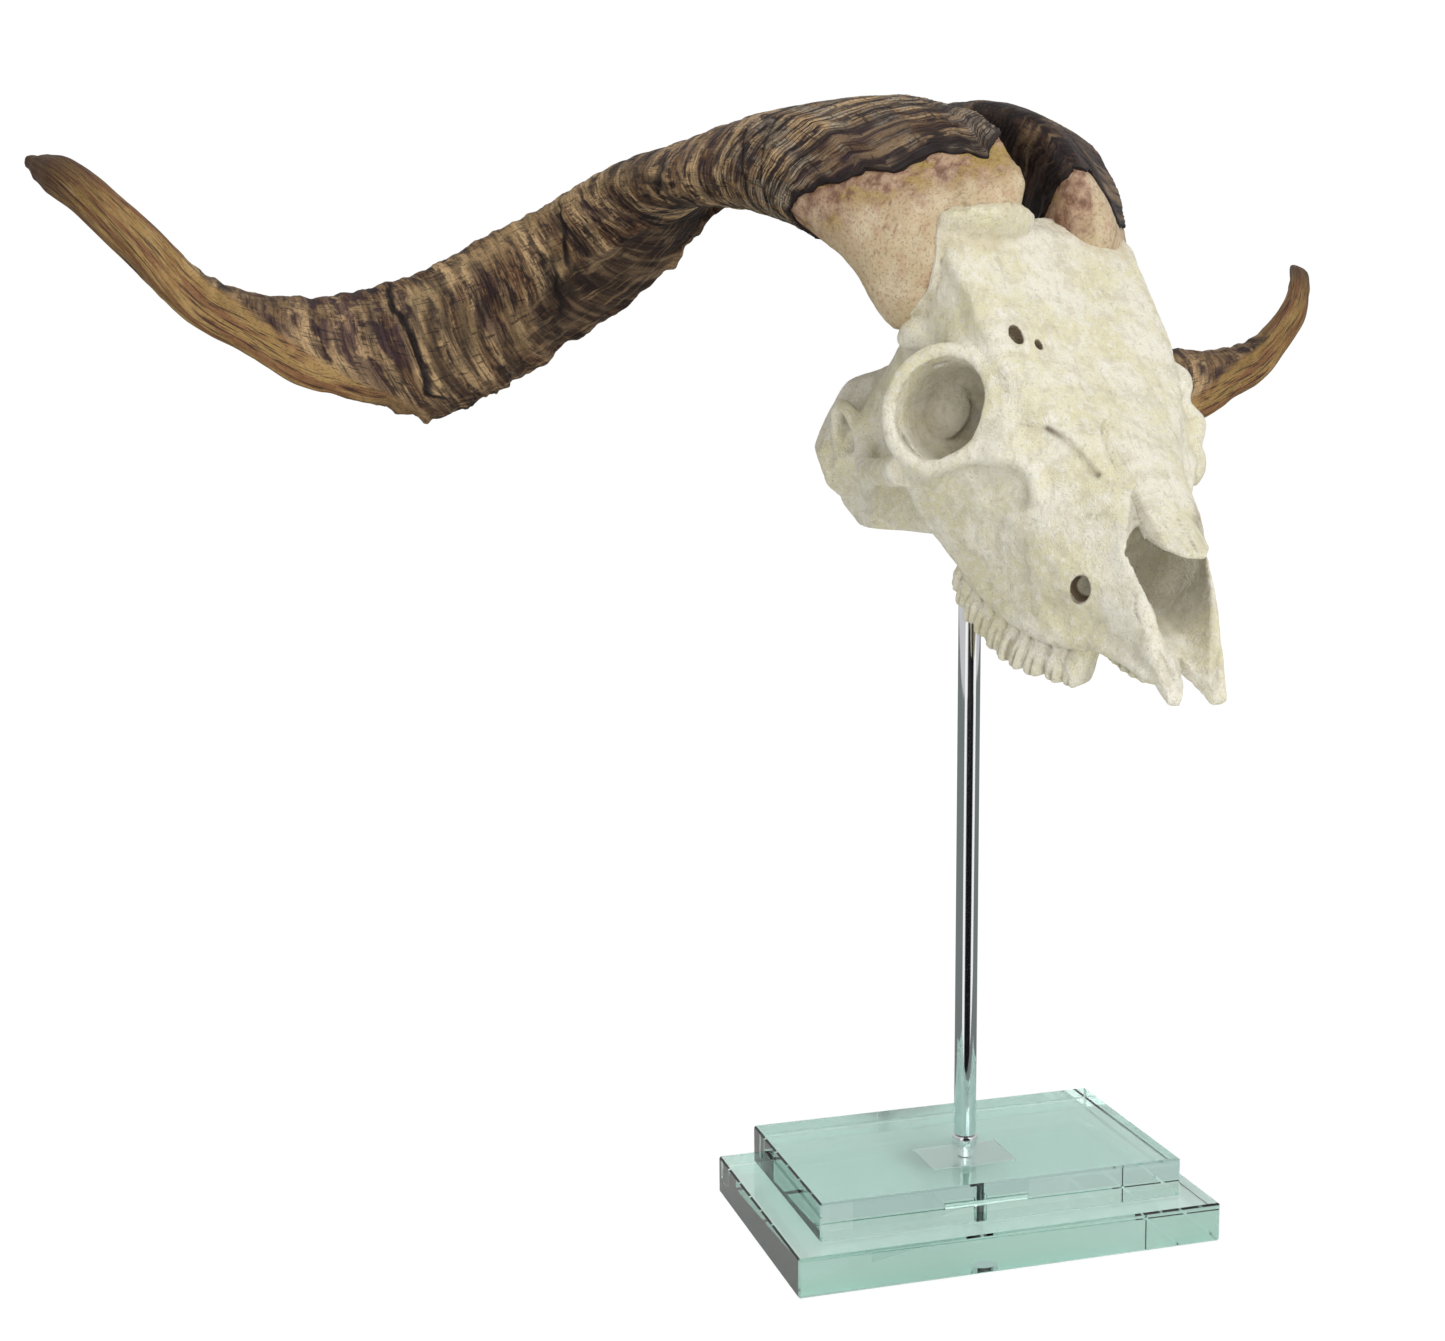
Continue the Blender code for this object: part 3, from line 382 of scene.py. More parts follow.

# Cards that only the rod mirrors, which paint its black and white reflected stripes: their left and right
# edges and their glow, and their distance and height
CARDS = (
    ("black", -0.031, 0.073, 0.0), ("white_left", -0.105, -0.045, 1.1), ("white_right", 0.090, 0.230, 1.1))
CARD_AWAY = 0.10
CARD_HEIGHT = 0.34

# Lamps: place, size and share of the key light's power, all turned to one spot; and the floor, in metres
LAMPS = (("key", (0.25, -1.6, 1.6), 1.1, 1.0), ("fill", (-0.6, -1.9, 0.5), 1.2, 0.45))
LIT_SPOT = (-0.05, -0.05, 0.38)
FLOOR_SIZE = 6.0
FLOOR_SINK = 0.0005


def mm(point):
    """A point in millimetres as a vector in metres."""
    return Vector(point) * MM


def add_object(name, data):
    made = bpy.data.objects.new(name, data)
    bpy.context.scene.collection.objects.link(made)
    return made


def mesh_from(name, build):
    """An object whose mesh is filled by build(bm), with its faces pointing out."""
    bm = bmesh.new()
    build(bm)
    bmesh.ops.recalc_face_normals(bm, faces=bm.faces)
    if bm.calc_volume(signed=True) < 0:
        bmesh.ops.reverse_faces(bm, faces=bm.faces)
    mesh = bpy.data.meshes.new(name)
    bm.to_mesh(mesh)
    bm.free()
    return add_object(name, mesh)


def curve_through(points, steps, closed=False):
    """Points of a smooth curve through the given points, steps to each span."""
    vectors = [Vector(p) for p in points]
    if closed:
        ends = vectors[-1:] + vectors + vectors[:2]
    else:
        ends = [2 * vectors[0] - vectors[1]] + vectors + [2 * vectors[-1] - vectors[-2]]
    out = []
    for a, b, c, d in zip(ends, ends[1:], ends[2:], ends[3:]):
        for step in range(steps):
            t = step / steps
            out.append(0.5 * (2 * b + (c - a) * t + (2 * a - 5 * b + 4 * c - d) * t * t
                              + (3 * b - a - 3 * c + d) * t ** 3))
    return out if closed else out + vectors[-1:]


def even_angles(count):
    return [2 * pi * k / count for k in range(count)]


def loft(name, rings, closed=False):
    """A body through rings of equally many points in millimetres, capped at its ends or closed on itself."""
    def build(bm):
        rows = [[bm.verts.new(mm(p)) for p in ring] for ring in rings]
        for low, high in zip(rows, rows[1:] + rows[:1] if closed else rows[1:]):
            for i in range(len(low)):
                j = (i + 1) % len(low)
                bm.faces.new((low[i], low[j], high[j], high[i]))
        if not closed:
            bm.faces.new(rows[0][::-1])
            bm.faces.new(rows[-1])
    return mesh_from(name, build)


def ellipsoid(name, centre, radii, facing=(0, 0, 1), detail=3):
    """radii along two sideways axes and along facing."""
    turn = Vector(facing).to_track_quat("Z", "Y").to_matrix().to_4x4()
    place = Matrix.Translation(mm(centre)) @ turn @ Matrix.Diagonal((*mm(radii), 1.0))

    def build(bm):
        bmesh.ops.create_icosphere(bm, subdivisions=detail, radius=1.0, matrix=place)
    return mesh_from(name, build)


def hull(name, centres, radius):
    """The skin stretched round balls of one radius."""
    def build(bm):
        bmesh.ops.create_icosphere(bm, subdivisions=1, radius=radius * MM)
        ball = [v.co.copy() for v in bm.verts]
        bm.clear()
        for centre in centres:
            for spot in ball:
                bm.verts.new(spot + mm(centre))
        bmesh.ops.convex_hull(bm, input=bm.verts)
        bmesh.ops.delete(bm, geom=[v for v in bm.verts if not v.link_faces], context="VERTS")
    return mesh_from(name, build)


def sheet(name, half, height):
    """A square, level sheet; sizes in metres."""
    place = Matrix.Translation((0, 0, height))

    def build(bm):
        bmesh.ops.create_grid(bm, x_segments=1, y_segments=1, size=half, matrix=place)
    return mesh_from(name, build)


def box(name, centre, size):
    place = Matrix.Translation(mm(centre)) @ Matrix.Diagonal((*mm(size), 1.0))

    def build(bm):
        bmesh.ops.create_cube(bm, size=1.0, matrix=place)
    return mesh_from(name, build)


def tube(name, points, radii, sides=12, steps=4):
    """A round bar along a smooth path; one radius to each given point."""
    path = curve_through(points, steps)
    sizes = [v.x for v in curve_through([(r, 0, 0) for r in radii], steps)]
    rings = []
    side = None
    for i, centre in enumerate(path):
        ahead = (path[min(i + 1, len(path) - 1)] - path[max(i - 1, 0)]).normalized()
        side = ahead.orthogonal() if side is None else side
        side = (side - ahead * side.dot(ahead)).normalized()
        across = ahead.cross(side)
        rings.append([centre + sizes[i] * (side * cos(t) + across * sin(t)) for t in even_angles(sides)])
    return loft(name, rings)


def copy_of(piece):
    return add_object(piece.name + ".copy", piece.data.copy())


def mirror_over(piece):
    """Turns a piece of the animal's right side into one of its left."""
    piece.data.transform(Matrix.Diagonal((-1, 1, 1, 1)))
    piece.data.flip_normals()


def mirrored(piece):
    """A copy of the piece on the animal's other side."""
    other = copy_of(piece)
    mirror_over(other)
    return other


def both(piece):
    return [piece, mirrored(piece)]


def bake(target):
    """Replaces an object's mesh by its evaluated one and drops its modifiers."""
    evaluated = target.evaluated_get(bpy.context.evaluated_depsgraph_get())
    mesh = bpy.data.meshes.new_from_object(evaluated)
    target.modifiers.clear()
    target.data = mesh


def remove(pieces):
    for piece in pieces:
        bpy.data.objects.remove(piece, do_unlink=True)


def combine(target, pieces, operation):
    """One Boolean of the target with a collection of pieces, which it uses up."""
    group = bpy.data.collections.new("pieces")
    for piece in pieces:
        group.objects.link(piece)
    change = target.modifiers.new("combine", "BOOLEAN")
    change.operation = operation
    change.solver = "MANIFOLD"
    change.operand_type = "COLLECTION"
    change.collection = group
    bake(target)
    bpy.data.collections.remove(group)
    remove(pieces)


def resurface(target, passes):
    """An even skin of fine quads, then smoothed."""
    skin = target.modifiers.new("skin", "REMESH")
    skin.mode = "VOXEL"
    skin.voxel_size = FINE_VOXEL * MM
    soften = target.modifiers.new("soften", "SMOOTH")
    soften.factor = 0.5
    soften.iterations = passes
    bake(target)


def keep_largest(target):
    """Drops every closed surface but the one with the most points."""
    bm = bmesh.new()
    bm.from_mesh(target.data)
    left = set(bm.verts)
    shells = []
    while left:
        shell = set()
        front = [left.pop()]
        while front:
            vert = front.pop()
            shell.add(vert)
            for edge in vert.link_edges:
                other = edge.other_vert(vert)
                if other in left:
                    left.remove(other)
                    front.append(other)
        shells.append(shell)
    shells.sort(key=len)
    bmesh.ops.delete(bm, geom=[v for shell in shells[:-1] for v in shell], context="VERTS")
    bmesh.ops.triangulate(bm, faces=bm.faces)
    bm.to_mesh(target.data)
    bm.free()


def skin_points(mesh, kind=float):
    """The vertices of a mesh in millimetres and its normals."""
    points = np.empty(len(mesh.vertices) * 3, dtype=np.float32)
    normals = np.empty_like(points)
    mesh.vertices.foreach_get("co", points)
    mesh.vertex_normals.foreach_get("vector", normals)
    return points.reshape(-1, 3).astype(kind) / MM, normals.reshape(-1, 3).astype(kind)


def set_skin(mesh, points):
    mesh.vertices.foreach_set("co", (points * MM).astype(np.float32).ravel())
    mesh.update()


def fold(points):
    """The points with those of the animal's left side moved over to its right."""
    return points * np.where(points[:, :1] < 0, (-1, 1, 1), (1, 1, 1))


def squared_distance(points, path, steps):
    nearest = np.full(len(points), np.inf)
    for spot in curve_through(path, steps):
        nearest = np.minimum(nearest, ((points - np.array(spot)) ** 2).sum(axis=1))
    return nearest


def distance_to(points, path):
    """How far each point is from a smooth path."""
    return np.sqrt(squared_distance(points, path, 8))


def sculpt(target, strokes):
    """Raises or presses the skin along short paths, alike on both sides."""
    points, normals = skin_points(target.data, np.float32)
    folded = fold(points)
    for stroke in strokes:
        falloff = np.clip(1 - squared_distance(folded, stroke.path, 6) / stroke.radius ** 2, 0, 1) ** 2
        points += normals * (stroke.height * falloff)[:, None]
    set_skin(target.data, points)


def even_ring(y, first, half, last):
    """A closed outline across the head through the points of one half, given by x and z, and their mirror."""
    right = [(x, y, z) for x, z in half]
    left = [(-x, y, z) for x, z in reversed(half)]
    return curve_through([(0, y, first)] + right + [(0, y, last)] + left, 3, closed=True)


def head_ring(section):
    """The outline of the head at one section."""
    half = (
        (section.crown, section.top - 1.5),
        ((section.crown + section.girth) / 2 + 1, (section.top * 2 + section.side) / 3),
        (section.girth, section.side),
        (section.base + (section.girth - section.base) * 0.3, (section.floor * 2 + section.side) / 3),
        (section.base, section.floor + 1),
    )
    return even_ring(section.y, section.top, half, section.floor)


def orbit_axes():
    facing = Vector(ORBIT_FACING).normalized()
    up = (Vector((0, 0, 1)) - facing * facing.z).normalized()
    return facing, up, up.cross(facing)


def orbit_rim():
    """The raised ring round the right eye socket."""
    facing, up, fore = orbit_axes()
    tall = ORBIT_HALF_HEIGHT + ORBIT_RIM * 0.6
    wide = ORBIT_HALF_WIDTH + ORBIT_RIM * 0.6
    rings = []
    for a in even_angles(48):
        out = up * tall * cos(a) + fore * wide * sin(a)
        radial = out.normalized()
        rings.append([Vector(ORBIT) + out + ORBIT_RIM * (radial * cos(t) + facing * sin(t))
                      for t in even_angles(16)])
    return loft("rim", rings, closed=True)


def socket_cutter():
    """The hollow of the right eye socket."""
    facing, up, fore = orbit_axes()
    rings = []
    for depth, scale in SOCKET_RINGS:
        middle = Vector(ORBIT) - facing * depth
        rings.append([middle + scale * (up * ORBIT_HALF_HEIGHT * cos(t) + fore * ORBIT_HALF_WIDTH * sin(t))
                      for t in even_angles(24)])
    return loft("socket", rings)


def airway_cutter():
    """The hollow of the nose, open to the front and above the rostrum."""
    rings = []
    for cut in NOSE_AIRWAY:
        middle = cut.low + (cut.high - cut.low) * 0.35
        half = ((cut.half * 0.55, cut.low + 1), (cut.half, middle), (cut.half * 0.86, cut.high - 3))
        rings.append(even_ring(cut.y, cut.low, half, cut.high))
    return loft("airway", rings)


def nasal_plate(grow=0.0, lift=0.0, inner=GAP / 2):
    """One nasal bone, or the seat for it when grown by the gap and lifted clear."""
    rings = []
    last = len(NASAL_SECTIONS) - 1
    for i, cut in enumerate(NASAL_SECTIONS):
        y = cut.y + (grow if i == last else -grow if i == 0 else 0.0)
        if i == last and lift:
            y += SEAT_RUN
        half = cut.half + grow
        upper = []
        lower = []
        for k in range(NASAL_STEPS + 1):
            x = inner + (half - inner) * k / NASAL_STEPS
            z = cut.top - NASAL_ARCH * (x / NASAL_ARCH_HALF) ** 2
            upper.append((x, y, z + lift))
            lower.append((x, y, z - NASAL_THICKNESS * (1 - NASAL_THINNING * k / NASAL_STEPS) - grow))
        rings.append(upper + lower[::-1])
    return loft("nasal", rings)


def tooth_row():
    """The right row of cheek teeth, as one block to each column of a crown."""
    path = curve_through(TOOTH_TIPS, 8)
    total = sum((b - a).length for a, b in zip(path, path[1:]))
    scale = total / sum(TOOTH_COLUMNS)
    up = Vector((0, 0, 1))
    made = []
    begin = 0.0
    for width in TOOTH_COLUMNS:
        end = begin + width * scale
        tip = point_along(path, (begin + end) / 2)
        run = point_along(path, end) - point_along(path, begin)
        run = Vector((run.x, run.y, 0)).normalized()
        out = run.cross(up)
        rings = []
        for level in TOOTH_LEVELS:
            middle = tip + up * level.height + out * (level.out - TOOTH_DEPTH / 2)
            rings.append([middle + run * a * level.along * width * scale / 2
                          + out * b * level.depth * TOOTH_DEPTH / 2 for a, b in TOOTH_PLAN])
        made.append(loft("tooth", rings))
        begin = end
    return made


def point_along(path, distance):
    """The point at a distance along a path of points."""
    for a, b in zip(path, path[1:]):
        span = (b - a).length
        if distance <= span:
            return a.lerp(b, distance / span)
        distance -= span
    return path[-1]


def cleft_cutter():
    """The gap between the two premaxillae, widening to the front."""
    return loft("cleft", [[(-half, y, 0), (half, y, 0), (half, y, CLEFT_TOP), (-half, y, CLEFT_TOP)]
                          for y, half in CLEFT])


def nerve_holes():
    """Cutters for the holes of the right brow and cheek and the slit beside the nasal bone."""
    cutters = [ellipsoid("hole", centre, radii, (0, 0.4, 1), 2) for centre, radii in BROW_HOLES]
    cutters.append(ellipsoid("ear", *EAR_HOLE, detail=2))
    centre, radii, facing = CHEEK_HOLE
    cutters.append(ellipsoid("hole", centre, radii, facing, 2))
    cutters.append(tube("slit", *SLIT, 8))
    return cutters


def horn_girth(along):
    """Half sizes of the horn's section at a fraction of its length."""
    for low, high in zip(HORN_GIRTH, HORN_GIRTH[1:]):
        if along <= high.along:
            t = (along - low.along) / (high.along - low.along)
            t = t * t * (3 - 2 * t)
            return [a + (b - a) * t for a, b in zip(low[1:], high[1:])]
    return list(HORN_GIRTH[-1][1:])


def lean_nose(target):
    """Bends the front of the snout a little to the animal's right."""
    for vert in target.data.vertices:
        ahead = max(0.0, vert.co.y / MM - NOSE_LEAN_START) / NOSE_LEAN_LENGTH
        vert.co.x += NOSE_LEAN * ahead ** 2 * MM


def rough(points, size, seed):
    """Smooth random values from -1 to 1 in space, with swellings about size millimetres apart."""
    table = np.random.RandomState(seed).uniform(-1, 1, 4096)
    grid = np.asarray(points, dtype=float) / size
    cell = np.floor(grid).astype(np.int64)
    part = grid - cell
    part = part * part * (3 - 2 * part)
    total = np.zeros(len(grid))
    for corner in product((0, 1), repeat=3):
        at = cell + np.array(corner)
        spot = (at[:, 0] * 73856093 ^ at[:, 1] * 19349663 ^ at[:, 2] * 83492791) & 4095
        weight = np.prod(np.where(np.array(corner), part, 1 - part), axis=1)
        total += table[spot] * weight
    return total


def ease(value, low, high):
    """0 below low, 1 above high and smooth between."""
    part = np.clip((np.asarray(value, dtype=float) - low) / (high - low), 0, 1)
    return part * part * (3 - 2 * part)


def note(mesh, name, values):
    """Writes one number, or one vector, to each vertex under a name that the paint reads."""
    values = np.asarray(values, dtype=np.float32)
    kind = "FLOAT" if values.ndim == 1 else "FLOAT_VECTOR"
    layer = mesh.attributes.new(name, kind, "POINT")
    layer.data.foreach_set("value" if kind == "FLOAT" else "vector", values.ravel())


def softened(target, passes):
    """Where the skin's points would lie after smoothing, in millimetres."""
    soft = copy_of(target)
    change = soft.modifiers.new("soften", "SMOOTH")
    change.factor = 0.5
    change.iterations = passes
    bake(soft)
    points = skin_points(soft.data)[0]
    remove([soft])
    return points


def hex_colour(text):
    """Linear RGBA of an sRGB colour in hex."""
    parts = [int(text[i:i + 2], 16) / 255 for i in (1, 3, 5)]
    return tuple(c / 12.92 if c <= 0.04045 else ((c + 0.055) / 1.055) ** 2.4 for c in parts) + (1.0,)


def fill(node, inputs=(), **settings):
    """Sets or links inputs, by number or by name with _ for a space, and sets the node's properties."""
    numbered = inputs if isinstance(inputs, dict) else dict(enumerate(inputs))
    for key, value in (numbered | settings).items():
        socket = key.replace("_", " ") if isinstance(key, str) else key
        if isinstance(key, str) and socket not in node.inputs:
            setattr(node, key, value)
        elif isinstance(value, bpy.types.NodeSocket):
            node.id_data.links.new(value, node.inputs[socket])
        else:
            node.inputs[socket].default_value = value


def add_node(tree, kind, inputs=(), **settings):
    made = tree.nodes.new("ShaderNode" + kind)
    fill(made, inputs, **settings)
    return made


def new_paint(name, *notes):
    """A material, its node tree, its Principled shader and the numbers noted on the skin that it reads."""
    paint = bpy.data.materials.new(name)
    paint.use_nodes = True
    tree = paint.node_tree
    read = {key: add_node(tree, "Attribute", attribute_name=key).outputs["Fac"] for key in notes}
    return paint, tree, tree.nodes["Principled BSDF"], read


def layered(tree, ground, layers):
    """A ground colour under layers of colour, each with its mask and its strength."""
    colour = (*ground, 1.0)
    for mask, strength, tone in layers:
        amount = add_node(tree, "Math", (mask, strength), operation="MULTIPLY", use_clamp=True).outputs[0]
        sockets = {0: amount, 6: colour, 7: (*tone, 1.0)}
        colour = add_node(tree, "Mix", sockets, data_type="RGBA").outputs[2]
    return colour


# ---- bone ----


def make_clay():
    """The skull in its own frame as one fine skin with its teeth and nasal bones."""
    body = loft("head", [head_ring(section) for section in HEAD_SECTIONS])
    facing, up, fore = orbit_axes()
    orbit = Vector(ORBIT)
    pieces = []
    pieces += both(orbit_rim())
    pieces += both(ellipsoid("brow", orbit - facing * BROW_SET_BACK, BROW_RADII, facing, 4))
    for bar in (ARCH, EAR_LIP, GUM):
        pieces += both(tube("bar", *bar, 20, 6))
    pieces += both(hull("cheek", CHEEK, CHEEK_RADIUS))
    pieces += both(hull("forehead", FOREHEAD_EDGE, FOREHEAD_RADIUS))
    pieces.append(hull("forehead top", FOREHEAD_TOP, FOREHEAD_RADIUS))
    lip = tube("lip", *FOREHEAD_LIP, 12, 6)
    pieces.append(tube("left rim", *LEFT_ORBIT_RIM, 16))
    combine(body, pieces, "UNION")
    resurface(body, CLAY_PASSES)
    sculpt(body, STROKES)
    sculpt(body, FINE_STROKES)
    combine(body, both(socket_cutter()) + nerve_holes() + [airway_cutter()], "DIFFERENCE")
    resurface(body, 2)
    plates = both(nasal_plate())
    lump_at = orbit - facing * ORBIT_LUMP_BACK + fore * ORBIT_LUMP_FORE
    lump = both(ellipsoid("lump", lump_at, ORBIT_LUMP_RADII, facing, 4))
    teeth = [piece for tooth in tooth_row() for piece in both(tooth)]
    combine(body, [nasal_plate(grow=GAP, lift=SEAT_LIFT, inner=-1.0)], "DIFFERENCE")
    combine(body, plates + lump + teeth + [lip], "UNION")
    combine(body, [cleft_cutter()], "DIFFERENCE")
    resurface(body, CUT_PASSES)
    keep_largest(body)
    return body


def weather(target):
    """Undulation, pores, seams and dirt of the bone, pressed into the skin and noted for the paint, with the
    depths of its hollows, holes, eye sockets and nose noted for painted shade.
    """
    mesh = target.data
    points, normals = skin_points(mesh)
    folded = fold(points)
    near = (softened(target, NEAR_PASSES) - points) * normals
    wide = (softened(target, WIDE_PASSES) - points) * normals
    lift = sum(height * rough(points, size, seed) for height, size, seed in BONE_GRAIN)
    # depth in the eye sockets and the nose, which the paint darkens as painted shade
    cave_shade = deep_hollows(folded)
    teeth_zone = ease(-folded[:, 2], -3, 3) * ease(folded[:, 1], 0, 8) * ease(-folded[:, 1], -104, -96)
    lift *= 1 + 0.8 * teeth_zone
    line = np.zeros(len(points))
    for seam in BONE_SEAMS:
        wander = 0.7 * np.stack([rough(folded, 4, 11), rough(folded, 4, 12), rough(folded, 4, 13)], axis=1)
        gap = distance_to(folded + wander, seam.path)
        line = np.maximum(line, seam.strength * np.exp(-(gap / seam.width) ** 2))
    lift -= SEAM_DEPTH * line
    row = curve_through(TOOTH_TIPS, 12)
    walked = np.cumsum([0] + [(b - a).length for a, b in zip(row, row[1:])])
    flat_row = np.array([(p.y, p.z) for p in row])
    along_row = np.interp(folded[:, 1], flat_row[:, 0], walked)
    lobe = along_row / LOBE_SPACING + 0.12 * rough(folded, 9, 14)
    groove = np.exp(-((lobe - np.floor(lobe) - 0.5) / 0.13) ** 2) * teeth_zone
    lift -= GROOVE_DEPTH * groove
    line = np.maximum(line, 0.75 * groove)
    edge = 1 - ease(distance_to(points, FOREHEAD_LUMPS), 2.5, 9)
    lift += edge * (1.3 * rough(points, 5, 15) + 0.5 * rough(points, 2, 16))
    # painted shade inside the nerve holes and along the slit, noted together with the wide hollows
    holes = np.zeros(len(points))
    for centre, radii in (*BROW_HOLES, CHEEK_HOLE[:2]):
        gap = np.linalg.norm((points - np.array(centre)) / np.array(radii), axis=1)
        holes = np.maximum(holes, ease(-gap, -1.15, -0.9))
    holes = np.maximum(holes, 0.9 * np.exp(-(distance_to(points, SLIT.path) / 2.2) ** 2))
    pits = ease(rough(points, 1.7, 21), 0.55, 0.8) * ease(rough(points, 16, 22), -0.1, 0.5)
    lift -= PIT_DEPTH * pits
    set_skin(mesh, points + normals * lift[:, None])
    # the small and the wide hollows, noted for the paint's brown and its painted shade
    note(mesh, "hollow", np.clip(near.sum(axis=1) / NEAR_FULL, -1, 1))
    note(mesh, "shelter_shade", np.clip(np.maximum(wide.sum(axis=1) / WIDE_FULL, holes), -1, 1))
    note(mesh, "cave_shade", cave_shade)
    note(mesh, "seam", line)
    note(mesh, "tooth", teeth_zone)


def deep_hollows(folded):
    """How deep each spot lies in an eye socket or in the nose, from 0 to 1, for the painted shade there."""
    facing, up, fore = (np.array(axis) for axis in orbit_axes())
    away = folded - np.array(ORBIT)
    aside = np.sqrt((away @ up / ORBIT_HALF_HEIGHT) ** 2 + (away @ fore / ORBIT_HALF_WIDTH) ** 2)
    socket = ease(-(away @ facing), 1, 12) * ease(-aside, -1.12, -1.0)
    across, ahead, height = folded.T
    parts = ((NOSE_AIRWAY, "half"), (NOSE_AIRWAY, "low"), (NASAL_SECTIONS, "top"))
    half, low, roof = (np.interp(ahead, [cut.y for cut in cuts], [getattr(cut, part) for cut in cuts])
                       for cuts, part in parts)
    nose = ease(half + 1.0 - across, 0, 1.2) * ease(height - low, -1.2, 0.5)
    nose *= ease(roof - 3.0 - height, -0.5, 1.0) * ease(ahead, 68, 72) * (1 - 0.65 * ease(ahead, 95, 128))
    return np.maximum(socket, nose)


def note_blush(target, core_meshes):
    """How near the bone is to the horn cores, which stain it pink."""
    points = skin_points(target.data)[0]
    spots = np.concatenate([skin_points(mesh)[0][::6] for mesh in core_meshes])
    tree = KDTree(len(spots))
    for i, spot in enumerate(spots):
        tree.insert(spot, i)
    tree.balance()
    reach = np.full(len(points), FAR_AWAY)
    low = spots.min(axis=0) - BLUSH_SEARCH
    high = spots.max(axis=0) + BLUSH_SEARCH
    for i in np.nonzero(((points > low) & (points < high)).all(axis=1))[0]:
        reach[i] = tree.find(points[i])[2]
    wander = 1.6 * rough(points, 5, 31)
    note(target.data, "blush", 1 - ease(reach + wander, *BLUSH_REACH))


def flatten_underside(target):
    """The flat that the cast is bored from below on, behind the palate."""
    cutter = box("under", (0, UNDERSIDE_FRONT + UNDERSIDE_CUT / 2, UNDERSIDE_HEIGHT - UNDERSIDE_CUT / 2),
                 (UNDERSIDE_CUT, UNDERSIDE_CUT, UNDERSIDE_CUT))
    combine(target, [cutter], "DIFFERENCE")


# ---- horns ----


HornLine = namedtuple("HornLine", "run centre keel_way face_way keel heel half")


def horn_line(swell, slim):
    """The right horn's centre line, sampled finely, with the directions and half sizes of its sections."""
    path = curve_through(HORN_PATH, HORN_STEPS)
    spans = [(b - a).length for a, b in zip(path, path[1:])] + [0.0]
    total = sum(spans)
    rows = []
    side = Vector((0, 1, 0))
    done = 0.0
    for i, centre in enumerate(path):
        ahead = (path[min(i + 1, len(path) - 1)] - path[max(i - 1, 0)]).normalized()
        side = (side - ahead * side.dot(ahead)).normalized()
        across = ahead.cross(side)
        along = done / total
        turn = radians(HORN_TWIST[0] + (HORN_TWIST[1] - HORN_TWIST[0]) * along)
        keel_way = side * cos(turn) + across * sin(turn)
        face_way = across * cos(turn) - side * sin(turn)
        keel, heel, half = horn_girth(along)
        fuller = swell * exp(-((along - SWELL_CENTRE) / SWELL_WIDTH) ** 2)
        less = slim * min(1.0, max(0.0, (along - SLIM_START) / SLIM_LENGTH))
        rows.append((done, *centre, *keel_way, *face_way, keel + SWELL_KEEL * fuller - less, heel - less,
                     half + SWELL_HALF * fuller - less))
        done += spans[i]
    table = np.array(rows)
    return HornLine(table[:, 0], table[:, 1:4], table[:, 4:7], table[:, 7:10], *table[:, 10:].T)


def horn_point(line, run, turn, grow):
    """Points of the horn's skin at distances run along it and angles turn round it, 0 at the keel."""
    def at(values):
        return np.interp(run, line.run, values)
    centre, keel_way, face_way = (np.stack([at(way[:, k]) for k in range(3)], axis=-1)
                                  for way in (line.centre, line.keel_way, line.face_way))
    reach = np.where(np.cos(turn) > 0, at(line.keel), at(line.heel)) + grow
    width = (at(line.half) + grow) * (1 - HORN_PINCH * np.maximum(0, np.cos(turn)))
    return (centre + keel_way * (reach * np.cos(turn))[..., None]
            + face_way * (width * np.sin(turn))[..., None])


def even_turns(count):
    """Angles that are evenly spaced along the outline of a middling section."""
    fine = np.linspace(0, 2 * pi, 2001)
    keel, heel, half = MIDDLE_SECTION
    reach = np.where(np.cos(fine) > 0, keel, heel)
    width = half * (1 - HORN_PINCH * np.maximum(0, np.cos(fine)))
    outline = np.stack([reach * np.cos(fine), width * np.sin(fine)], axis=1)
    length = np.concatenate([[0], np.cumsum(np.linalg.norm(np.diff(outline, axis=0), axis=1))])
    return np.interp(np.linspace(0, length[-1], count, endpoint=False), length, fine)


def rim_at(turn, rim):
    """Where the sheath begins at each angle round the horn: a closed curve through the given spots."""
    angles = np.array([a for a, r in rim])
    runs = np.array([r for a, r in rim], dtype=float)
    wrapped = np.concatenate([angles - 360, angles, angles + 360])
    return np.interp(np.degrees(turn), wrapped, np.tile(runs, 3))


def grid_mesh(name, rows, closed_ends):
    """A tube of quads through rows of points in millimetres, with a cap on each end that is asked for."""
    count = rows.shape[1]
    points = rows.reshape(-1, 3) * MM
    low = (np.arange(rows.shape[0] - 1)[:, None] * count + np.arange(count)[None, :]).ravel()
    step = np.where((low + 1) % count == 0, 1 - count, 1)
    quads = np.stack([low, low + step, low + step + count, low + count], axis=1).tolist()
    if closed_ends[0]:
        quads.append(list(range(count))[::-1])
    if closed_ends[1]:
        quads.append(list(range(len(points) - count, len(points))))
    mesh = bpy.data.meshes.new(name)
    mesh.from_pydata(points.tolist(), [], quads)
    return add_object(name, mesh)


def horn_space(along, turn):
    """Points for noise on a horn, from distances along it and angles round it."""
    points = np.stack([along, NOISE_RADIUS * np.cos(turn), NOISE_RADIUS * np.sin(turn)], axis=-1)
    return points.reshape(-1, 3)


def patches(run, turn, spots):
    """The sum of soft patches on the horn, each as wide as its spread in degrees."""
    total = np.zeros(run.shape)
    for spot in spots:
        away = (np.degrees(turn) - spot.turn + 180) % 360 - 180
        total += spot.weight * np.exp(-((run - spot.run) / spot.length) ** 2 - (away / spot.spread) ** 2)
    return total


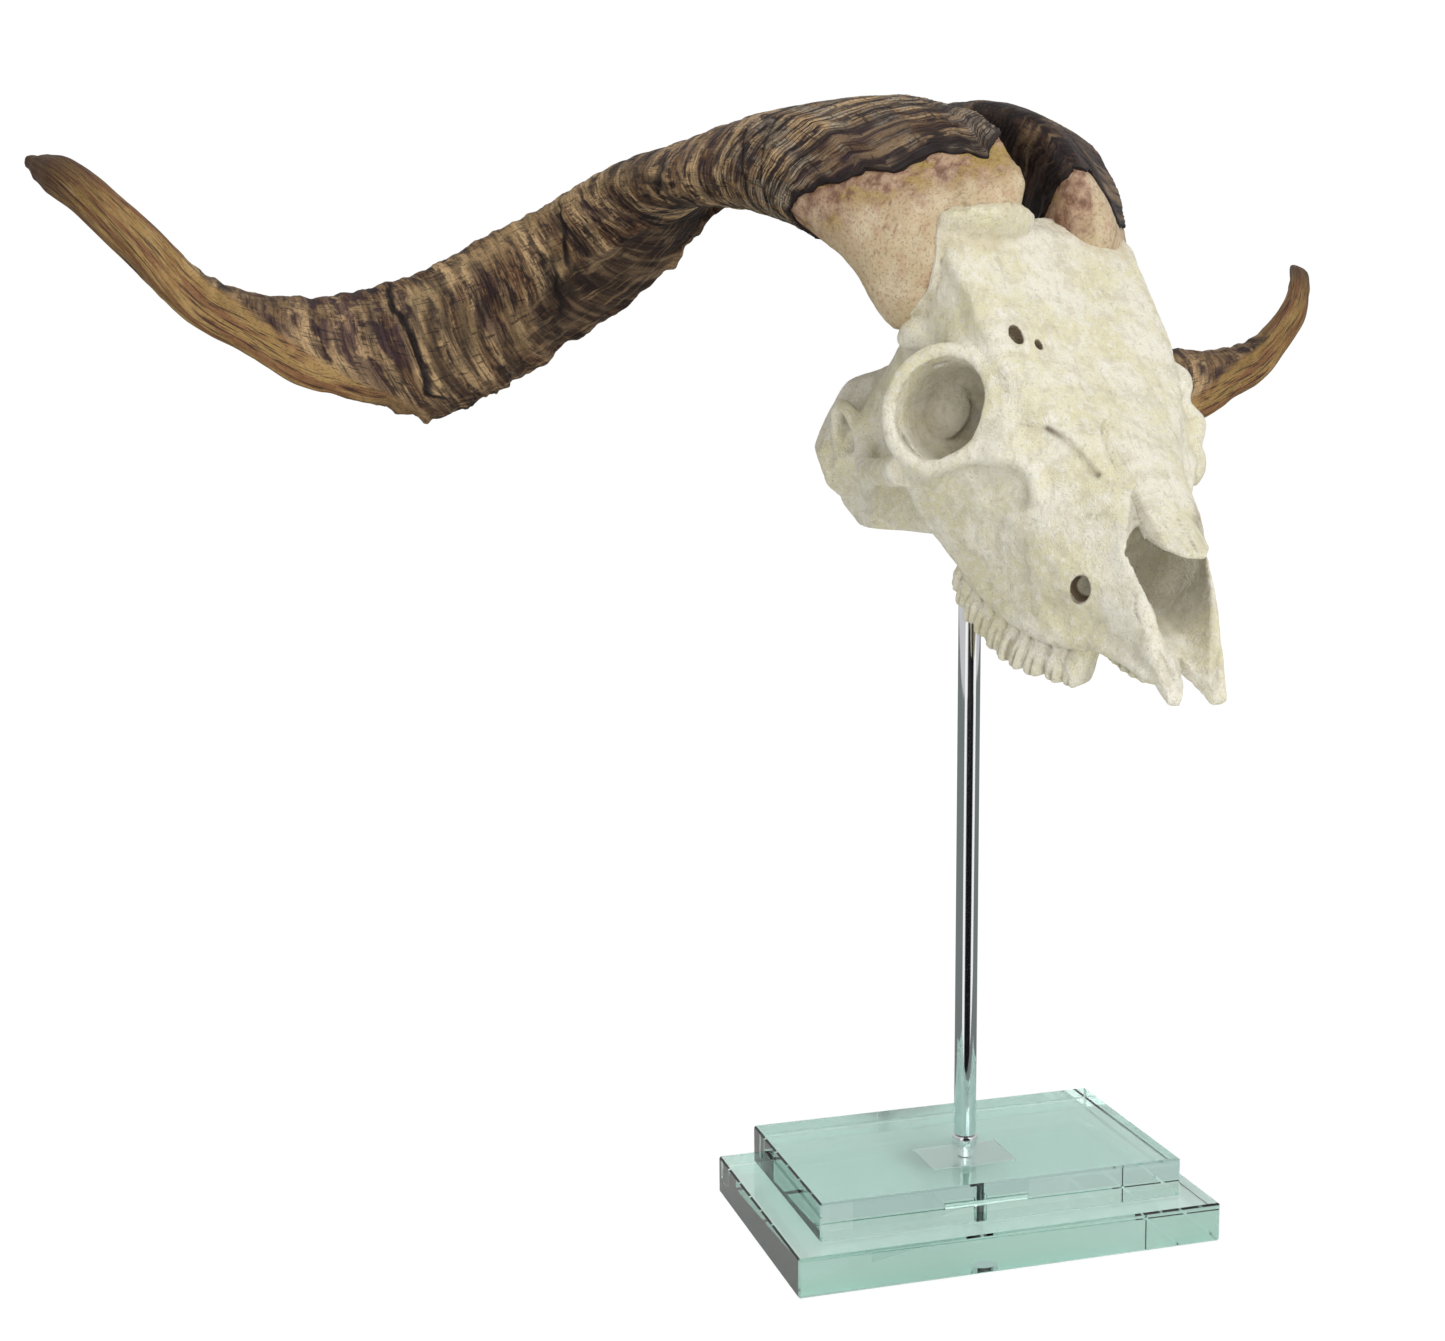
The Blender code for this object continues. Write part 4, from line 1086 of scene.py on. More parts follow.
def line_across(run, turn, path):
    """Distance along the horn past a line given by angles and runs, and 1 where the line reaches, else 0."""
    angles = np.array([a for a, r in path], dtype=float)
    runs = np.array([r for a, r in path], dtype=float)
    order = np.argsort(angles)
    degrees = np.degrees(turn)
    first, last = angles.min(), angles.max()
    inside = ease(degrees, first - 8, first + 4) * ease(-degrees, -last - 8, -last + 4)
    return run - np.interp(degrees, angles[order], runs[order]), inside


def skin_ways(skin):
    """The steps along a grid of points and the normals of its surface."""
    ahead = np.gradient(skin, axis=0)
    normal = np.cross(np.roll(skin, -1, axis=1) - np.roll(skin, 1, axis=1), ahead)
    return ahead, normal / np.linalg.norm(normal, axis=2, keepdims=True)


def angle_at(run, path):
    """The angle of a line along the horn, given by pairs of angle and run, at each run."""
    return np.interp(run, [p[1] for p in path], [p[0] for p in path])


def padded(values, before, after=0):
    """The values of a grid of points in one row, its first and last lines said again for added rings."""
    return np.concatenate([np.repeat(values[:1], before, axis=0), values,
                           np.repeat(values[-1:], after, axis=0)]).ravel()


def make_sheath(side, rim, swell, slim):
    """One horn sheath with its growth rings, cracks, frayed keel and rim."""
    line = horn_line(swell, slim)
    total = line.run[-1]
    turns = even_turns(HORN_AROUND)
    share = np.linspace(0, 1, HORN_ALONG) ** CROWDING
    ragged = rim_at(turns, rim)
    ring = np.stack([np.cos(turns), np.sin(turns), np.zeros(len(turns))], axis=1) * RIM_RADIUS
    for height, size, seed in RIM_GRAIN:
        ragged = ragged + height * rough(ring, size, seed)
    run = ragged[None, :] + (total - ragged[None, :]) * share[:, None]
    turn = np.broadcast_to(turns[None, :], run.shape)
    skin = horn_point(line, run, turn, 0.0)
    ahead, normal = skin_ways(skin)
    growth = run - ragged[None, :] * (1 - ease(run, 0, 170))
    # rings lean on the blade of the keel, where they run out towards the tip
    growth = growth + RING_LEAN * np.maximum(0, np.cos(turn)) ** 2 * ease(run, 140, 260)
    flat = horn_space(growth, turn)
    body = horn_space(run, turn)
    shape = run.shape

    def field(points, scale, size, seed):
        return rough(points * np.array(scale), size, seed).reshape(shape)
    degrees = np.degrees(turn)
    tip_face = ease(angle_at(run, TIP_RIDGE) - degrees, -6, 6)
    tip_face *= ease(run, *FACE_START) * ease(degrees, -1, 0)
    tip_face = np.maximum(tip_face, ease(run, *ALL_FACE_START))
    tip_face = np.maximum(tip_face, ease(run, *FAR_FACE_START) * ease(degrees, 300, 320))
    keel = ease(np.cos(turn), 0.72, 0.95)
    blade = keel * ease(run, *BLADE_START) * (1 - ease(run, *BLADE_END))
    mid = ease(run, *BASE_END)
    base = 1 - mid
    ringed = (1 - 0.85 * tip_face) * (1 - ease(run, *RINGS_END))
    bands = field(flat, (1, 0.12, 0.12), 9, 51)
    narrow = field(flat, (1, 0.22, 0.22), 2.4, 52)
    fine = field(flat, (1, 0.3, 0.3), 1.25, 53)
    lumps = field(body, (1, 1, 1), 11, 54)
    swell_ring = np.cos(2 * pi * (growth / RIDGE_SPACING + 0.35 * field(flat, (1, 0.3, 0.3), 20, 59)))
    thin_ring = np.cos(2 * pi * (growth / LINE_SPACING + 0.22 * field(flat, (1, 0.3, 0.3), 7, 60)))
    swelling = 0.6 + 0.4 * field(body, (1, 1, 1), 26, 71)
    lift = ringed * (0.45 * bands + 0.55 * mid * swell_ring * swelling
                     + (0.04 + 0.20 * base) * thin_ring + 0.24 * narrow + 0.13 * fine) + 0.45 * lumps
    lift += 0.28 * tip_face * field(body, (0.12, 1.4, 1.4), 4.0, 55)
    fray = field(body, (1, 0.1, 0.1), 5.5, 56) + 0.5 * field(body, (1, 0.3, 0.3), 2.4, 57)
    lift += blade * (2.4 * fray - 0.3)
    crack = np.zeros(shape)
    for path in CRACKS:
        gap, inside = line_across(run + 1.6 * field(body, (0.4, 1, 1), 6, 58), turn, path.spots)
        crack = np.maximum(crack, inside * path.depth * np.exp(-(gap / path.width) ** 2))
        lift -= inside * path.depth * 0.9 * ease(gap, -0.6, 0.2) * (1 - ease(gap, 0.5, 16))
    lift -= 0.9 * crack
    fold_angle = angle_at(run, FLANGE_FOLD)
    fold_reach = ease(run, *FOLD_START) * (1 - ease(run, *FOLD_END))
    crease = np.exp(-((degrees - fold_angle) / 9) ** 2) * fold_reach
    below = ease(fold_angle - degrees, 2, 14) * ease(degrees - 14, 0, 12) * fold_reach
    lift += 1.4 * crease - 2.0 * below
    ridge = np.exp(-((degrees - angle_at(run, TIP_RIDGE)) / 8) ** 2)
    lift += ridge * ease(run, *RIDGE_START) * (1 - ease(run, *ALL_FACE_START))
    lift *= 1 - 0.75 * ease(run, total - TIP_TAPER, total)
    lift -= patches(run, turn, SLIM_SPOTS[side])
    flakes = field(body, (1, 1, 1), 3.2, 68) * (1 - ease(run - ragged[None, :], 2, 10))
    skin = skin + normal * (lift + 0.8 * flakes)[..., None]
    near_rim = 1 - ease(run - ragged[None, :] + 2.5 * field(body, (1, 1, 1), 4, 67), 1.5, 6)
    rim_rows = [skin[0] - normal[0] * inset + ahead[0] * back for inset, back in RIM_TURN_IN]
    tip_rows = []
    middle = skin[-1].mean(axis=0)
    way = line.centre[-1] - line.centre[-8]
    way = way / np.linalg.norm(way)
    for step in range(1, TIP_RINGS + 1):
        bend = step / (TIP_RINGS + 0.4) * pi / 2
        tip_rows.append(middle + (skin[-1] - middle) * cos(bend) + way * sin(bend) * TIP_ROUND)
    rows = np.concatenate([np.array(rim_rows), skin, np.array(tip_rows)])
    sheath = grid_mesh("horn sheath " + side, rows, (False, True))

    mesh = sheath.data
    ends = (len(RIM_TURN_IN), TIP_RINGS)
    note(mesh, "grain", horn_space(padded(growth, *ends), padded(turn, *ends)))
    note(mesh, "length", horn_space(padded(run, *ends), padded(turn, *ends)))
    # the relief is noted for painted shade in its low spots and a painted highlight on its raised spots
    for name, values in (
            ("dark", patches(run, turn, LEFT_DARK_SPOTS if side == "left" else DARK_SPOTS)),
            ("olive", patches(run, turn, OLIVE_SPOTS)), ("plum", patches(run, turn, PLUM_SPOTS)),
            ("tip_face", tip_face), ("blade", np.maximum(below, 0.8 * blade)),
            ("crack", np.clip(crack, 0, 1)), ("rim", near_rim),
            ("relief", ringed * (0.6 * bands + 0.5 * narrow) + 0.3 * lumps - crack)):
        note(mesh, name, padded(values, *ends))
    if side == "left":
        mirror_over(sheath)
    return sheath


def make_core(side, rim, swell, slim):
    """One bony horn core from its root in the brow to well inside the sheath."""
    line = horn_line(swell, slim)
    turns = even_turns(CORE_AROUND)
    ragged = rim_at(turns, rim)
    run = np.broadcast_to(np.linspace(0, CORE_LENGTH, CORE_ALONG)[:, None], (CORE_ALONG, CORE_AROUND))
    turn = np.broadcast_to(turns[None, :], run.shape)
    skin = horn_point(line, run, turn, CORE_GROW)
    normal = skin_ways(skin)[1]
    body = skin.reshape(-1, 3)
    furrows = rough(horn_space(run, turn) * np.array((0.16, 2.2, 2.2)), 4.5, 61).reshape(run.shape)
    lift = 0.45 * rough(body, 9, 62).reshape(run.shape) + 0.10 * furrows
    lift += 0.16 * rough(body, 2.4, 63).reshape(run.shape)
    pores = (ease(rough(body, 2.2, 64), 0.5, 0.8) * ease(rough(body, 11, 66), -0.1, 0.4)).reshape(run.shape)
    lift -= PORE_DEPTH * pores + patches(run, turn, SLIM_SPOTS[side])
    # under the sheath the core keeps clear of the deepest crack
    lift -= CORE_CLEARANCE * ease(run - ragged[None, :], 3, 11)
    skin = skin + normal * lift[..., None]
    way = (line.centre[1] - line.centre[0]) / np.linalg.norm(line.centre[1] - line.centre[0])
    root = line.centre[0]
    front = [root + (skin[0] - root) * scale - way * HORN_FRONT_LENGTH * (1 - part)
             for part, scale in HORN_FRONT]
    core = grid_mesh("horn core " + side, np.concatenate([np.array(front), skin]), (True, True))
    points = skin_points(core.data)[0]
    before = np.array([-HORN_FRONT_LENGTH * (1 - part) for part, scale in HORN_FRONT])
    runs_all = np.concatenate([np.repeat(before, CORE_AROUND), run.ravel()])
    below_rim = np.tile(ragged, CORE_ALONG + len(front)) - runs_all
    uneven = rough(points, 10, 65)
    stain = 1 - ease(below_rim + 5 * uneven, 4, 24)
    if side == "left":
        stain = np.maximum(stain * 0.35, ease(DARK_INSIDE + 2 * uneven - points[:, 0], -1, 4))
    else:
        stain = np.maximum(stain, padded(patches(run, turn, CORE_STAINS), len(front)) + 0.15 * uneven)
    note(core.data, "stain", np.clip(stain, 0, 1))
    note(core.data, "pores", padded(pores, len(front)))
    note(core.data, "relief", padded(furrows, len(front)))
    if side == "left":
        mirror_over(core)
    return core


# ---- paints ----


def bone_paint(look):
    """Resin cast, painted matt as bleached bone: chalky cream, dirt brown in the seams and in the pits, where
    it is partly painted shade, painted shade in the hollows, holes, eye sockets and nose, and a painted
    highlight of chalk on convex edges.
    """
    paint, tree, shader, read = new_paint(
        "cast resin painted as bone", "hollow", "shelter_shade", "cave_shade", "seam", "tooth", "blush")
    place = add_node(tree, "TexCoord").outputs["Object"]
    along = add_node(tree, "VectorMath", (place, (1.0, 0.16, 0.45)), operation="MULTIPLY").outputs[0]
    noise = {}
    # feature sizes in mm
    for name, source, size, detail in (
            ("cloud", place, 26, 4), ("blotch", place, 8, 5), ("mottle", place, 3, 5),
            ("speck", place, 1.3, 2), ("grit", place, 0.7, 3), ("streak", along, 2.4, 4)):
        noise[name] = add_node(tree, "TexNoise", Vector=source, Scale=1 / (size * MM), Detail=detail,
                               Roughness=0.6).outputs["Fac"]
    masks = {}
    for name, source, low, high in (
            ("tint", noise["cloud"], 0.40, 0.62), ("grey", noise["blotch"], 0.48, 0.64),
            ("chalk", noise["mottle"], 0.50, 0.66), ("sand", noise["grit"], 0.52, 0.66),
            ("streak", noise["streak"], 0.50, 0.68), ("dot", noise["speck"], 0.60, 0.70),
            # pit and edge read the small hollows: the pits' brown is partly painted shade, the chalk on
            # convex edges a painted highlight
            ("pit", read["hollow"], 0.12, 1.0), ("edge", read["hollow"], -0.15, -0.9),
            ("shade", read["shelter_shade"], 0.15, 1.0), ("hole", read["shelter_shade"], 0.55, 1.0)):
        masks[name] = add_node(tree, "MapRange", Value=source, From_Min=low, From_Max=high,
                               interpolation_type="SMOOTHSTEP").outputs["Result"]
    # brown in the small hollows, mottled: partly rubbed-in dirt, partly painted shade
    dirt_and_shade = add_node(tree, "Math", (masks["pit"], noise["mottle"]), operation="MULTIPLY").outputs[0]
    dirt_and_shade = add_node(tree, "Math", (dirt_and_shade, 1.5), operation="MULTIPLY", use_clamp=True).outputs[0]
    # painted shade: grey brown in the wide hollows and in the eye sockets and nose, dark brown in the nerve
    # holes and the deepest hollows
    colour = layered(tree, look.bone, (
        (masks["tint"], 0.70, look.moss), (masks["grey"], 0.50, look.ash), (masks["chalk"], 0.6, look.chalk),
        (masks["sand"], 0.30, look.ash), (masks["streak"], 0.45, look.ash), (read["tooth"], 0.25, look.moss),
        (read["blush"], 0.35, look.core), (masks["shade"], 0.55, look.painted_shade),
        (read["cave_shade"], 0.45, look.painted_shade), (masks["hole"], 0.9, look.dirt_and_shade), (dirt_and_shade, 0.85, look.dirt_and_shade),
        (read["seam"], 0.65, look.dirt_and_shade), (masks["dot"], 0.25, look.dirt_and_shade), (masks["edge"], 0.35, look.chalk)))
    dull = add_node(tree, "MapRange", Value=noise["blotch"], To_Min=0.55, To_Max=0.78).outputs["Result"]
    relief = add_node(tree, "Math", (noise["grit"], noise["mottle"]), operation="ADD").outputs[0]
    bump = add_node(tree, "Bump", Height=relief, Distance=1.1 * MM, Strength=1.0).outputs["Normal"]
    fill(shader, Base_Color=colour, Roughness=dull, Normal=bump)
    return paint


def core_paint(look):
    """Resin cast, painted as porous bone under a horn: flesh pink, wine and ochre wash below the sheath, with
    painted shade in its pores and furrows.
    """
    paint, tree, shader, read = new_paint("cast resin painted as horn core", "stain", "pores", "relief")
    place = add_node(tree, "TexCoord").outputs["Object"]
    noise = {}
    # feature sizes in mm
    for name, size, detail in (("cloud", 16, 4), ("blotch", 6, 5), ("grit", 1.2, 4)):
        noise[name] = add_node(tree, "TexNoise", Vector=place, Scale=1 / (size * MM), Detail=detail,
                               Roughness=0.62).outputs["Fac"]
    masks = {}
    for name, source, low, high in (
            ("pale", noise["cloud"], 0.45, 0.66), ("red", noise["blotch"], 0.5, 0.68),
            ("ochre", noise["cloud"], 0.5, 0.40), ("speck", noise["grit"], 0.52, 0.62),
            ("furrow", read["relief"], 0.1, -0.6), ("deep", read["stain"], 0.3, 0.8),
            ("mottled", noise["blotch"], 0.26, 0.74)):
        masks[name] = add_node(tree, "MapRange", Value=source, From_Min=low, From_Max=high,
                               interpolation_type="SMOOTHSTEP").outputs["Result"]
    stain = read["stain"]
    pairs = ((stain, masks["ochre"]), (stain, masks["mottled"]), (masks["deep"], masks["red"]))
    wash, stained, blots = (add_node(tree, "Math", pair, operation="MULTIPLY").outputs[0] for pair in pairs)
    # painted shade: dark in the pores and red brown in the furrows
    colour = layered(tree, look.core, (
        (masks["pale"], 0.6, look.core_pale), (masks["red"], 0.5, look.core_red),
        (masks["furrow"], 0.2, look.core_red), (stain, 0.55, look.core_red),
        (stained, 0.85, look.wine), (wash, 0.8, look.ochre), (blots, 0.45, look.dirt_and_shade),
        (masks["speck"], 0.35, look.wine), (read["pores"], 0.5, look.dirt_and_shade)))
    bump = add_node(tree, "Bump", Height=noise["grit"], Distance=0.6 * MM, Strength=1.0).outputs["Normal"]
    fill(shader, Base_Color=colour, Roughness=0.62, Normal=bump)
    return paint


def sheath_paint(look):
    """Resin cast, painted and glazed as horn: growth rings in tan, umber and plum under a satin coat, with
    painted shade in the low spots of its relief and a painted highlight on its raised spots.
    """
    paint, tree, shader, read = new_paint(
        "cast resin glazed as horn", "dark", "olive", "plum", "tip_face", "blade", "crack", "relief", "rim")
    grain, length = (add_node(tree, "Attribute", attribute_name=name).outputs["Vector"]
                     for name in ("grain", "length"))
    noise = {}
    # waves per mm along the horn and, twice, round it
    for name, source, stretch, detail in (
            ("band", grain, (0.10, 0.012, 0.012), 3), ("ring", grain, (0.38, 0.05, 0.05), 2),
            ("line", grain, (0.85, 0.10, 0.10), 2), ("blotch", grain, (0.09, 0.06, 0.06), 5),
            ("streak", length, (0.05, 0.40, 0.40), 4), ("smudge", length, (0.035, 0.11, 0.11), 4),
            ("fibre", length, (0.10, 1.3, 1.3), 2), ("grit", length, (0.8, 0.8, 0.8), 3),
            ("dash", length, (0.11, 0.75, 0.75), 2)):
        stretched = add_node(tree, "VectorMath", (source, stretch), operation="MULTIPLY").outputs[0]
        noise[name] = add_node(tree, "TexNoise", Vector=stretched, Scale=1.0, Detail=detail,
                               Roughness=0.55).outputs["Fac"]
    grain_run, run = (add_node(tree, "SeparateXYZ", (source,)).outputs["X"] for source in (grain, length))
    wave = {}
    for name, spacing, shift, source in (("thin", LINE_SPACING, 5.0, noise["ring"]),
                                         ("wide", RIDGE_SPACING, 9.0, noise["blotch"])):
        shifted = add_node(tree, "Math", (source, shift), operation="MULTIPLY").outputs[0]
        waves = (grain_run, 2 * pi / spacing, shifted)
        phase = add_node(tree, "Math", waves, operation="MULTIPLY_ADD").outputs[0]
        wave[name] = add_node(tree, "Math", (phase,), operation="COSINE").outputs[0]
    masks = {}
    for name, source, low, high in (
            ("at_base", run, 150, 80), ("to_end", run, 485, 530), ("worn", noise["smudge"], 0.46, 0.58),
            ("ash", noise["smudge"], 0.56, 0.44), ("fleck", noise["grit"], 0.52, 0.64),
            ("dash", noise["dash"], 0.60, 0.66), ("thin", wave["thin"], -0.45, -0.85),
            ("wide", wave["wide"], -0.1, -0.85), ("broken", noise["streak"], 0.40, 0.55),
            ("tan", noise["band"], 0.44, 0.56), ("umber", noise["ring"], 0.52, 0.66),
            ("thread", noise["line"], 0.54, 0.64), ("light", noise["line"], 0.46, 0.36),
            ("patch", noise["blotch"], 0.46, 0.54), ("lengthwise", noise["streak"], 0.53, 0.62),
            ("hair", noise["fibre"], 0.56, 0.68), ("low", read["relief"], -0.05, -0.6),
            ("high", read["relief"], 0.1, 0.7)):
        masks[name] = add_node(tree, "MapRange", Value=source, From_Min=low, From_Max=high,
                               interpolation_type="SMOOTHSTEP").outputs["Result"]
    # rings fade out on the olive patches and on the smooth face of the tip
    smooth = (read["olive"], 0.65, read["tip_face"])
    calm = add_node(tree, "Math", smooth, operation="MULTIPLY_ADD").outputs[0]
    ringed = add_node(tree, "Math", (1.0, calm), operation="SUBTRACT", use_clamp=True).outputs[0]
    pairs = {}
    for name, *pair in (
            ("worn", read["tip_face"], masks["worn"]), ("dark", read["dark"], masks["patch"]),
            ("plum", read["plum"], masks["patch"]), ("tip_streak", read["tip_face"], masks["lengthwise"]),
            ("thin", masks["thin"], masks["at_base"]), ("base_grey", masks["at_base"], masks["ash"]),
            ("wide", masks["wide"], masks["broken"]), ("dark_band", masks["wide"], masks["patch"]),
            ("blade_streak", read["blade"], masks["lengthwise"]), ("dark_all", read["dark"], 0.55)):
        pairs[name] = add_node(tree, "Math", pair, operation="MULTIPLY", use_clamp=True).outputs[0]
    rings = [
        (add_node(tree, "Math", (mask, ringed), operation="MULTIPLY").outputs[0], strength, tone)
        for mask, strength, tone in (
            (masks["umber"], 0.65, look.umber), (pairs["wide"], 0.9, look.umber),
            (pairs["dark_band"], 0.95, look.black_brown), (pairs["thin"], 1.0, look.black_brown),
            (masks["thread"], 0.85, look.black_brown), (masks["light"], 0.3, look.tan),
            (masks["hair"], 0.35, look.black_brown))
    ]
    # painted shade in the low spots of the relief and a painted highlight of tan on its raised spots
    colour = layered(tree, look.brown, (
        (masks["tan"], 0.85, look.tan), (read["olive"], 0.65, look.olive),
        (pairs["base_grey"], 0.7, look.slate), *rings,
        (read["blade"], 0.8, look.umber), (pairs["blade_streak"], 0.4, look.tan),
        (pairs["dark_all"], 0.9, look.umber), (pairs["dark"], 0.95, look.black_brown),
        (pairs["plum"], 0.85, look.plum), (read["tip_face"], 0.75, look.tip), (pairs["worn"], 0.7, look.rust),
        (pairs["tip_streak"], 0.85, look.umber), (masks["to_end"], 0.75, look.umber),
        (masks["low"], 0.6, look.black_brown), (masks["high"], 0.3, look.tan),
        (masks["fleck"], 0.35, look.black_brown), (read["rim"], 0.95, look.black_brown),
        (masks["dash"], 0.7, look.black_brown), (read["crack"], 1.0, look.black_brown)))
    gloss = add_node(tree, "MapRange", Value=noise["blotch"], To_Min=0.48, To_Max=0.68).outputs["Result"]
    height = add_node(tree, "Math", (wave["thin"], 0.22, noise["line"]), operation="MULTIPLY_ADD").outputs[0]
    height = add_node(tree, "Math", (height, ringed), operation="MULTIPLY").outputs[0]
    for source, strength in ((noise["fibre"], 0.35), (noise["grit"], 0.3)):
        height = add_node(tree, "Math", (source, strength, height), operation="MULTIPLY_ADD").outputs[0]
    bump = add_node(tree, "Bump", Height=height, Distance=1.0 * MM, Strength=0.9).outputs["Normal"]
    fill(shader, Base_Color=colour, Roughness=gloss, Specular_IOR_Level=0.3, Normal=bump)
    return paint


def glass_paint(look):
    """Float glass with polished edges: clear on its faces, sea green where light runs through its length."""
    paint, tree, shader, _ = new_paint("polished float glass")
    place = add_node(tree, "TexCoord").outputs["Object"]
    smear = add_node(tree, "TexNoise", Vector=place, Scale=1 / (30 * MM), Detail=3.0).outputs["Fac"]
    haze = add_node(tree, "MapRange", Value=smear, From_Min=0.62, From_Max=0.9, To_Min=0.0,
                    To_Max=0.03).outputs["Result"]
    fill(shader, Base_Color=(*look.glass, 1.0), IOR=1.52, Transmission_Weight=1.0, Roughness=haze)
    shadow = add_node(tree, "LightPath").outputs["Is Shadow Ray"]
    clear = add_node(tree, "BsdfTransparent", Color=(0.92, 0.98, 0.96, 1.0)).outputs[0]
    seen = add_node(tree, "MixShader", (shadow, shader.outputs[0], clear)).outputs[0]
    tint = add_node(tree, "VolumeAbsorption", Color=(*look.glass_depth, 1.0),
                    Density=look.glass_density).outputs[0]
    fill(tree.nodes["Material Output"], Surface=seen, Volume=tint)
    return paint


def metal_paint(name, tone, stretch, detail, gloss_range):
    """A metal whose roughness follows noise with the given waves per metre along X, Y and Z."""
    paint, tree, shader, _ = new_paint(name)
    place = add_node(tree, "TexCoord").outputs["Object"]
    stretched = add_node(tree, "VectorMath", (place, stretch), operation="MULTIPLY").outputs[0]
    lines = add_node(tree, "TexNoise", Vector=stretched, Scale=1.0, Detail=detail).outputs["Fac"]
    low, high = gloss_range
    gloss = add_node(tree, "MapRange", Value=lines, To_Min=low, To_Max=high).outputs["Result"]
    fill(shader, Base_Color=(*tone, 1.0), Metallic=1.0, Roughness=gloss)
    return paint


def floor_paint(look):
    """Laminate, matt white: an even white to the camera, and a dark grey glow where bright metal mirrors it,
    which paints a dark reflection in the metal.
    """
    paint, tree, shader, _ = new_paint("white studio floor, matt laminate")
    fill(shader, Base_Color=(*look.floor, 1.0), Roughness=0.8)
    rays = add_node(tree, "LightPath").outputs
    spot = add_node(tree, "TexCoord").outputs["Object"]
    away = add_node(tree, "VectorMath", (spot,), operation="LENGTH").outputs["Value"]
    fade = add_node(tree, "MapRange", Value=away, From_Min=0.12, From_Max=0.9, To_Min=0.88, To_Max=1.0,
                    interpolation_type="SMOOTHSTEP").outputs["Result"]
    white = add_node(tree, "Emission", Color=(1, 1, 1, 1), Strength=1.05).outputs[0]
    to_camera = add_node(tree, "Math", (rays["Is Camera Ray"], fade), operation="MULTIPLY").outputs[0]
    surface = add_node(tree, "MixShader", (to_camera, shader.outputs[0], white)).outputs[0]
    # rays in the glass stay white, and so does the floor close to the middle of the base
    far = add_node(tree, "MapRange", Value=away, From_Min=0.02, From_Max=0.06).outputs["Result"]
    through = add_node(tree, "Math", (rays["Is Transmission Ray"], rays["Is Singular Ray"]),
                       operation="MAXIMUM").outputs[0]
    mirror = add_node(tree, "Math", (rays["Is Glossy Ray"], through), operation="SUBTRACT",
                      use_clamp=True).outputs[0]
    painted_reflection_share = add_node(tree, "Math", (far, mirror), operation="MULTIPLY").outputs[0]
    # painted reflection: a dark grey glow that only mirror rays from the metal see
    dark = add_node(tree, "Emission", Color=(0.20, 0.225, 0.22, 1), Strength=1.0).outputs[0]
    surface = add_node(tree, "MixShader", (painted_reflection_share, surface, dark)).outputs[0]
    fill(tree.nodes["Material Output"], Surface=surface)
    return paint


def wear(target, paint, sharp=None):
    """Puts a paint on a smooth shaded piece, with its edges sharp above an angle in degrees."""
    target.data.materials.clear()
    target.data.materials.append(paint)
    target.data.shade_smooth()
    if sharp:
        target.data.set_sharp_from_angle(angle=radians(sharp))


# ---- settings ----


def colour_of(name, text, use):
    return bpy.props.FloatVectorProperty(
        name=name, description=use, subtype="COLOR", size=3, min=0.0, max=1.0, default=hex_colour(text)[:3])


class BoneLook(bpy.types.PropertyGroup):
    """Colours of the skull and the horn cores."""
    bone: colour_of("Bone", "#F1ECDA", "Clean bleached bone")
    moss: colour_of("Moss", "#E0D8AC", "Greenish yellow tint in clouds")
    ash: colour_of("Ash", "#CDC5AC", "Grey blotches")
    # chalk also gives the painted highlight on convex edges
    chalk: colour_of("Chalk", "#F4F1E8", "Chalky high spots")
    # dirt and shade: also the painted shade in the holes, the small hollows and the pores of the cores
    dirt_and_shade: colour_of("Dirt and shade", "#66523A", "Brown rubbed into pits and seams")
    # painted shade: the grey brown of the wide hollows, the eye sockets and the nose
    painted_shade: colour_of("Painted shade", "#8F846E", "Grey brown in sheltered hollows")
    core: colour_of("Core", "#C1AE8B", "Flesh pink of the horn cores")
    core_pale: colour_of("Core, pale", "#D8C9AC", "Pale clouds on the cores")
    core_red: colour_of("Core, red", "#B58C70", "Reddish blotches on the cores")
    wine: colour_of("Wine", "#5E2A20", "Dark wash below the sheaths")
    ochre: colour_of("Ochre", "#A58C48", "Yellow wash below the sheaths")


class HornLook(bpy.types.PropertyGroup):
    """Colours of the horn sheaths."""
    brown: colour_of("Brown", "#624229", "Ground colour")
    # tan also gives the painted highlight on raised spots of the relief
    tan: colour_of("Tan", "#C1A177", "Light growth bands")
    olive: colour_of("Olive", "#A88F64", "Olive tan patches")
    umber: colour_of("Umber", "#372118", "Dark rings")
    # black brown also gives the painted shade in low spots of the relief
    black_brown: colour_of("Black brown", "#1E1413", "Cracks and the darkest rings")
    plum: colour_of("Plum", "#42262E", "Purple brown bands")
    tip: colour_of("Tip", "#9C7C45", "Smooth face of the tip")
    slate: colour_of("Slate", "#9A9486", "Grey weathering near the base of the horn")
    rust: colour_of("Rust", "#74452D", "Reddish brown patches of the tip")


class StandLook(bpy.types.PropertyGroup):
    """Colours of the stand."""
    glass: colour_of("Glass", "#F7FDFC", "Tint of the glass faces")
    glass_depth: colour_of("Glass depth", "#7ED4C0", "What the glass lets through in its depth")
    glass_density: bpy.props.FloatProperty(
        name="Glass density", description="Strength of the tint, per metre", default=5.5, min=0.0, max=100.0)
    chrome: colour_of("Chrome", "#E3E4E6", "Reflection of the rod")
    plate: colour_of("Plate", "#EEF2EF", "Brushed plate under the upper glass")
    bolt: colour_of("Bolt", "#3A3C3C", "Blackened bolt")


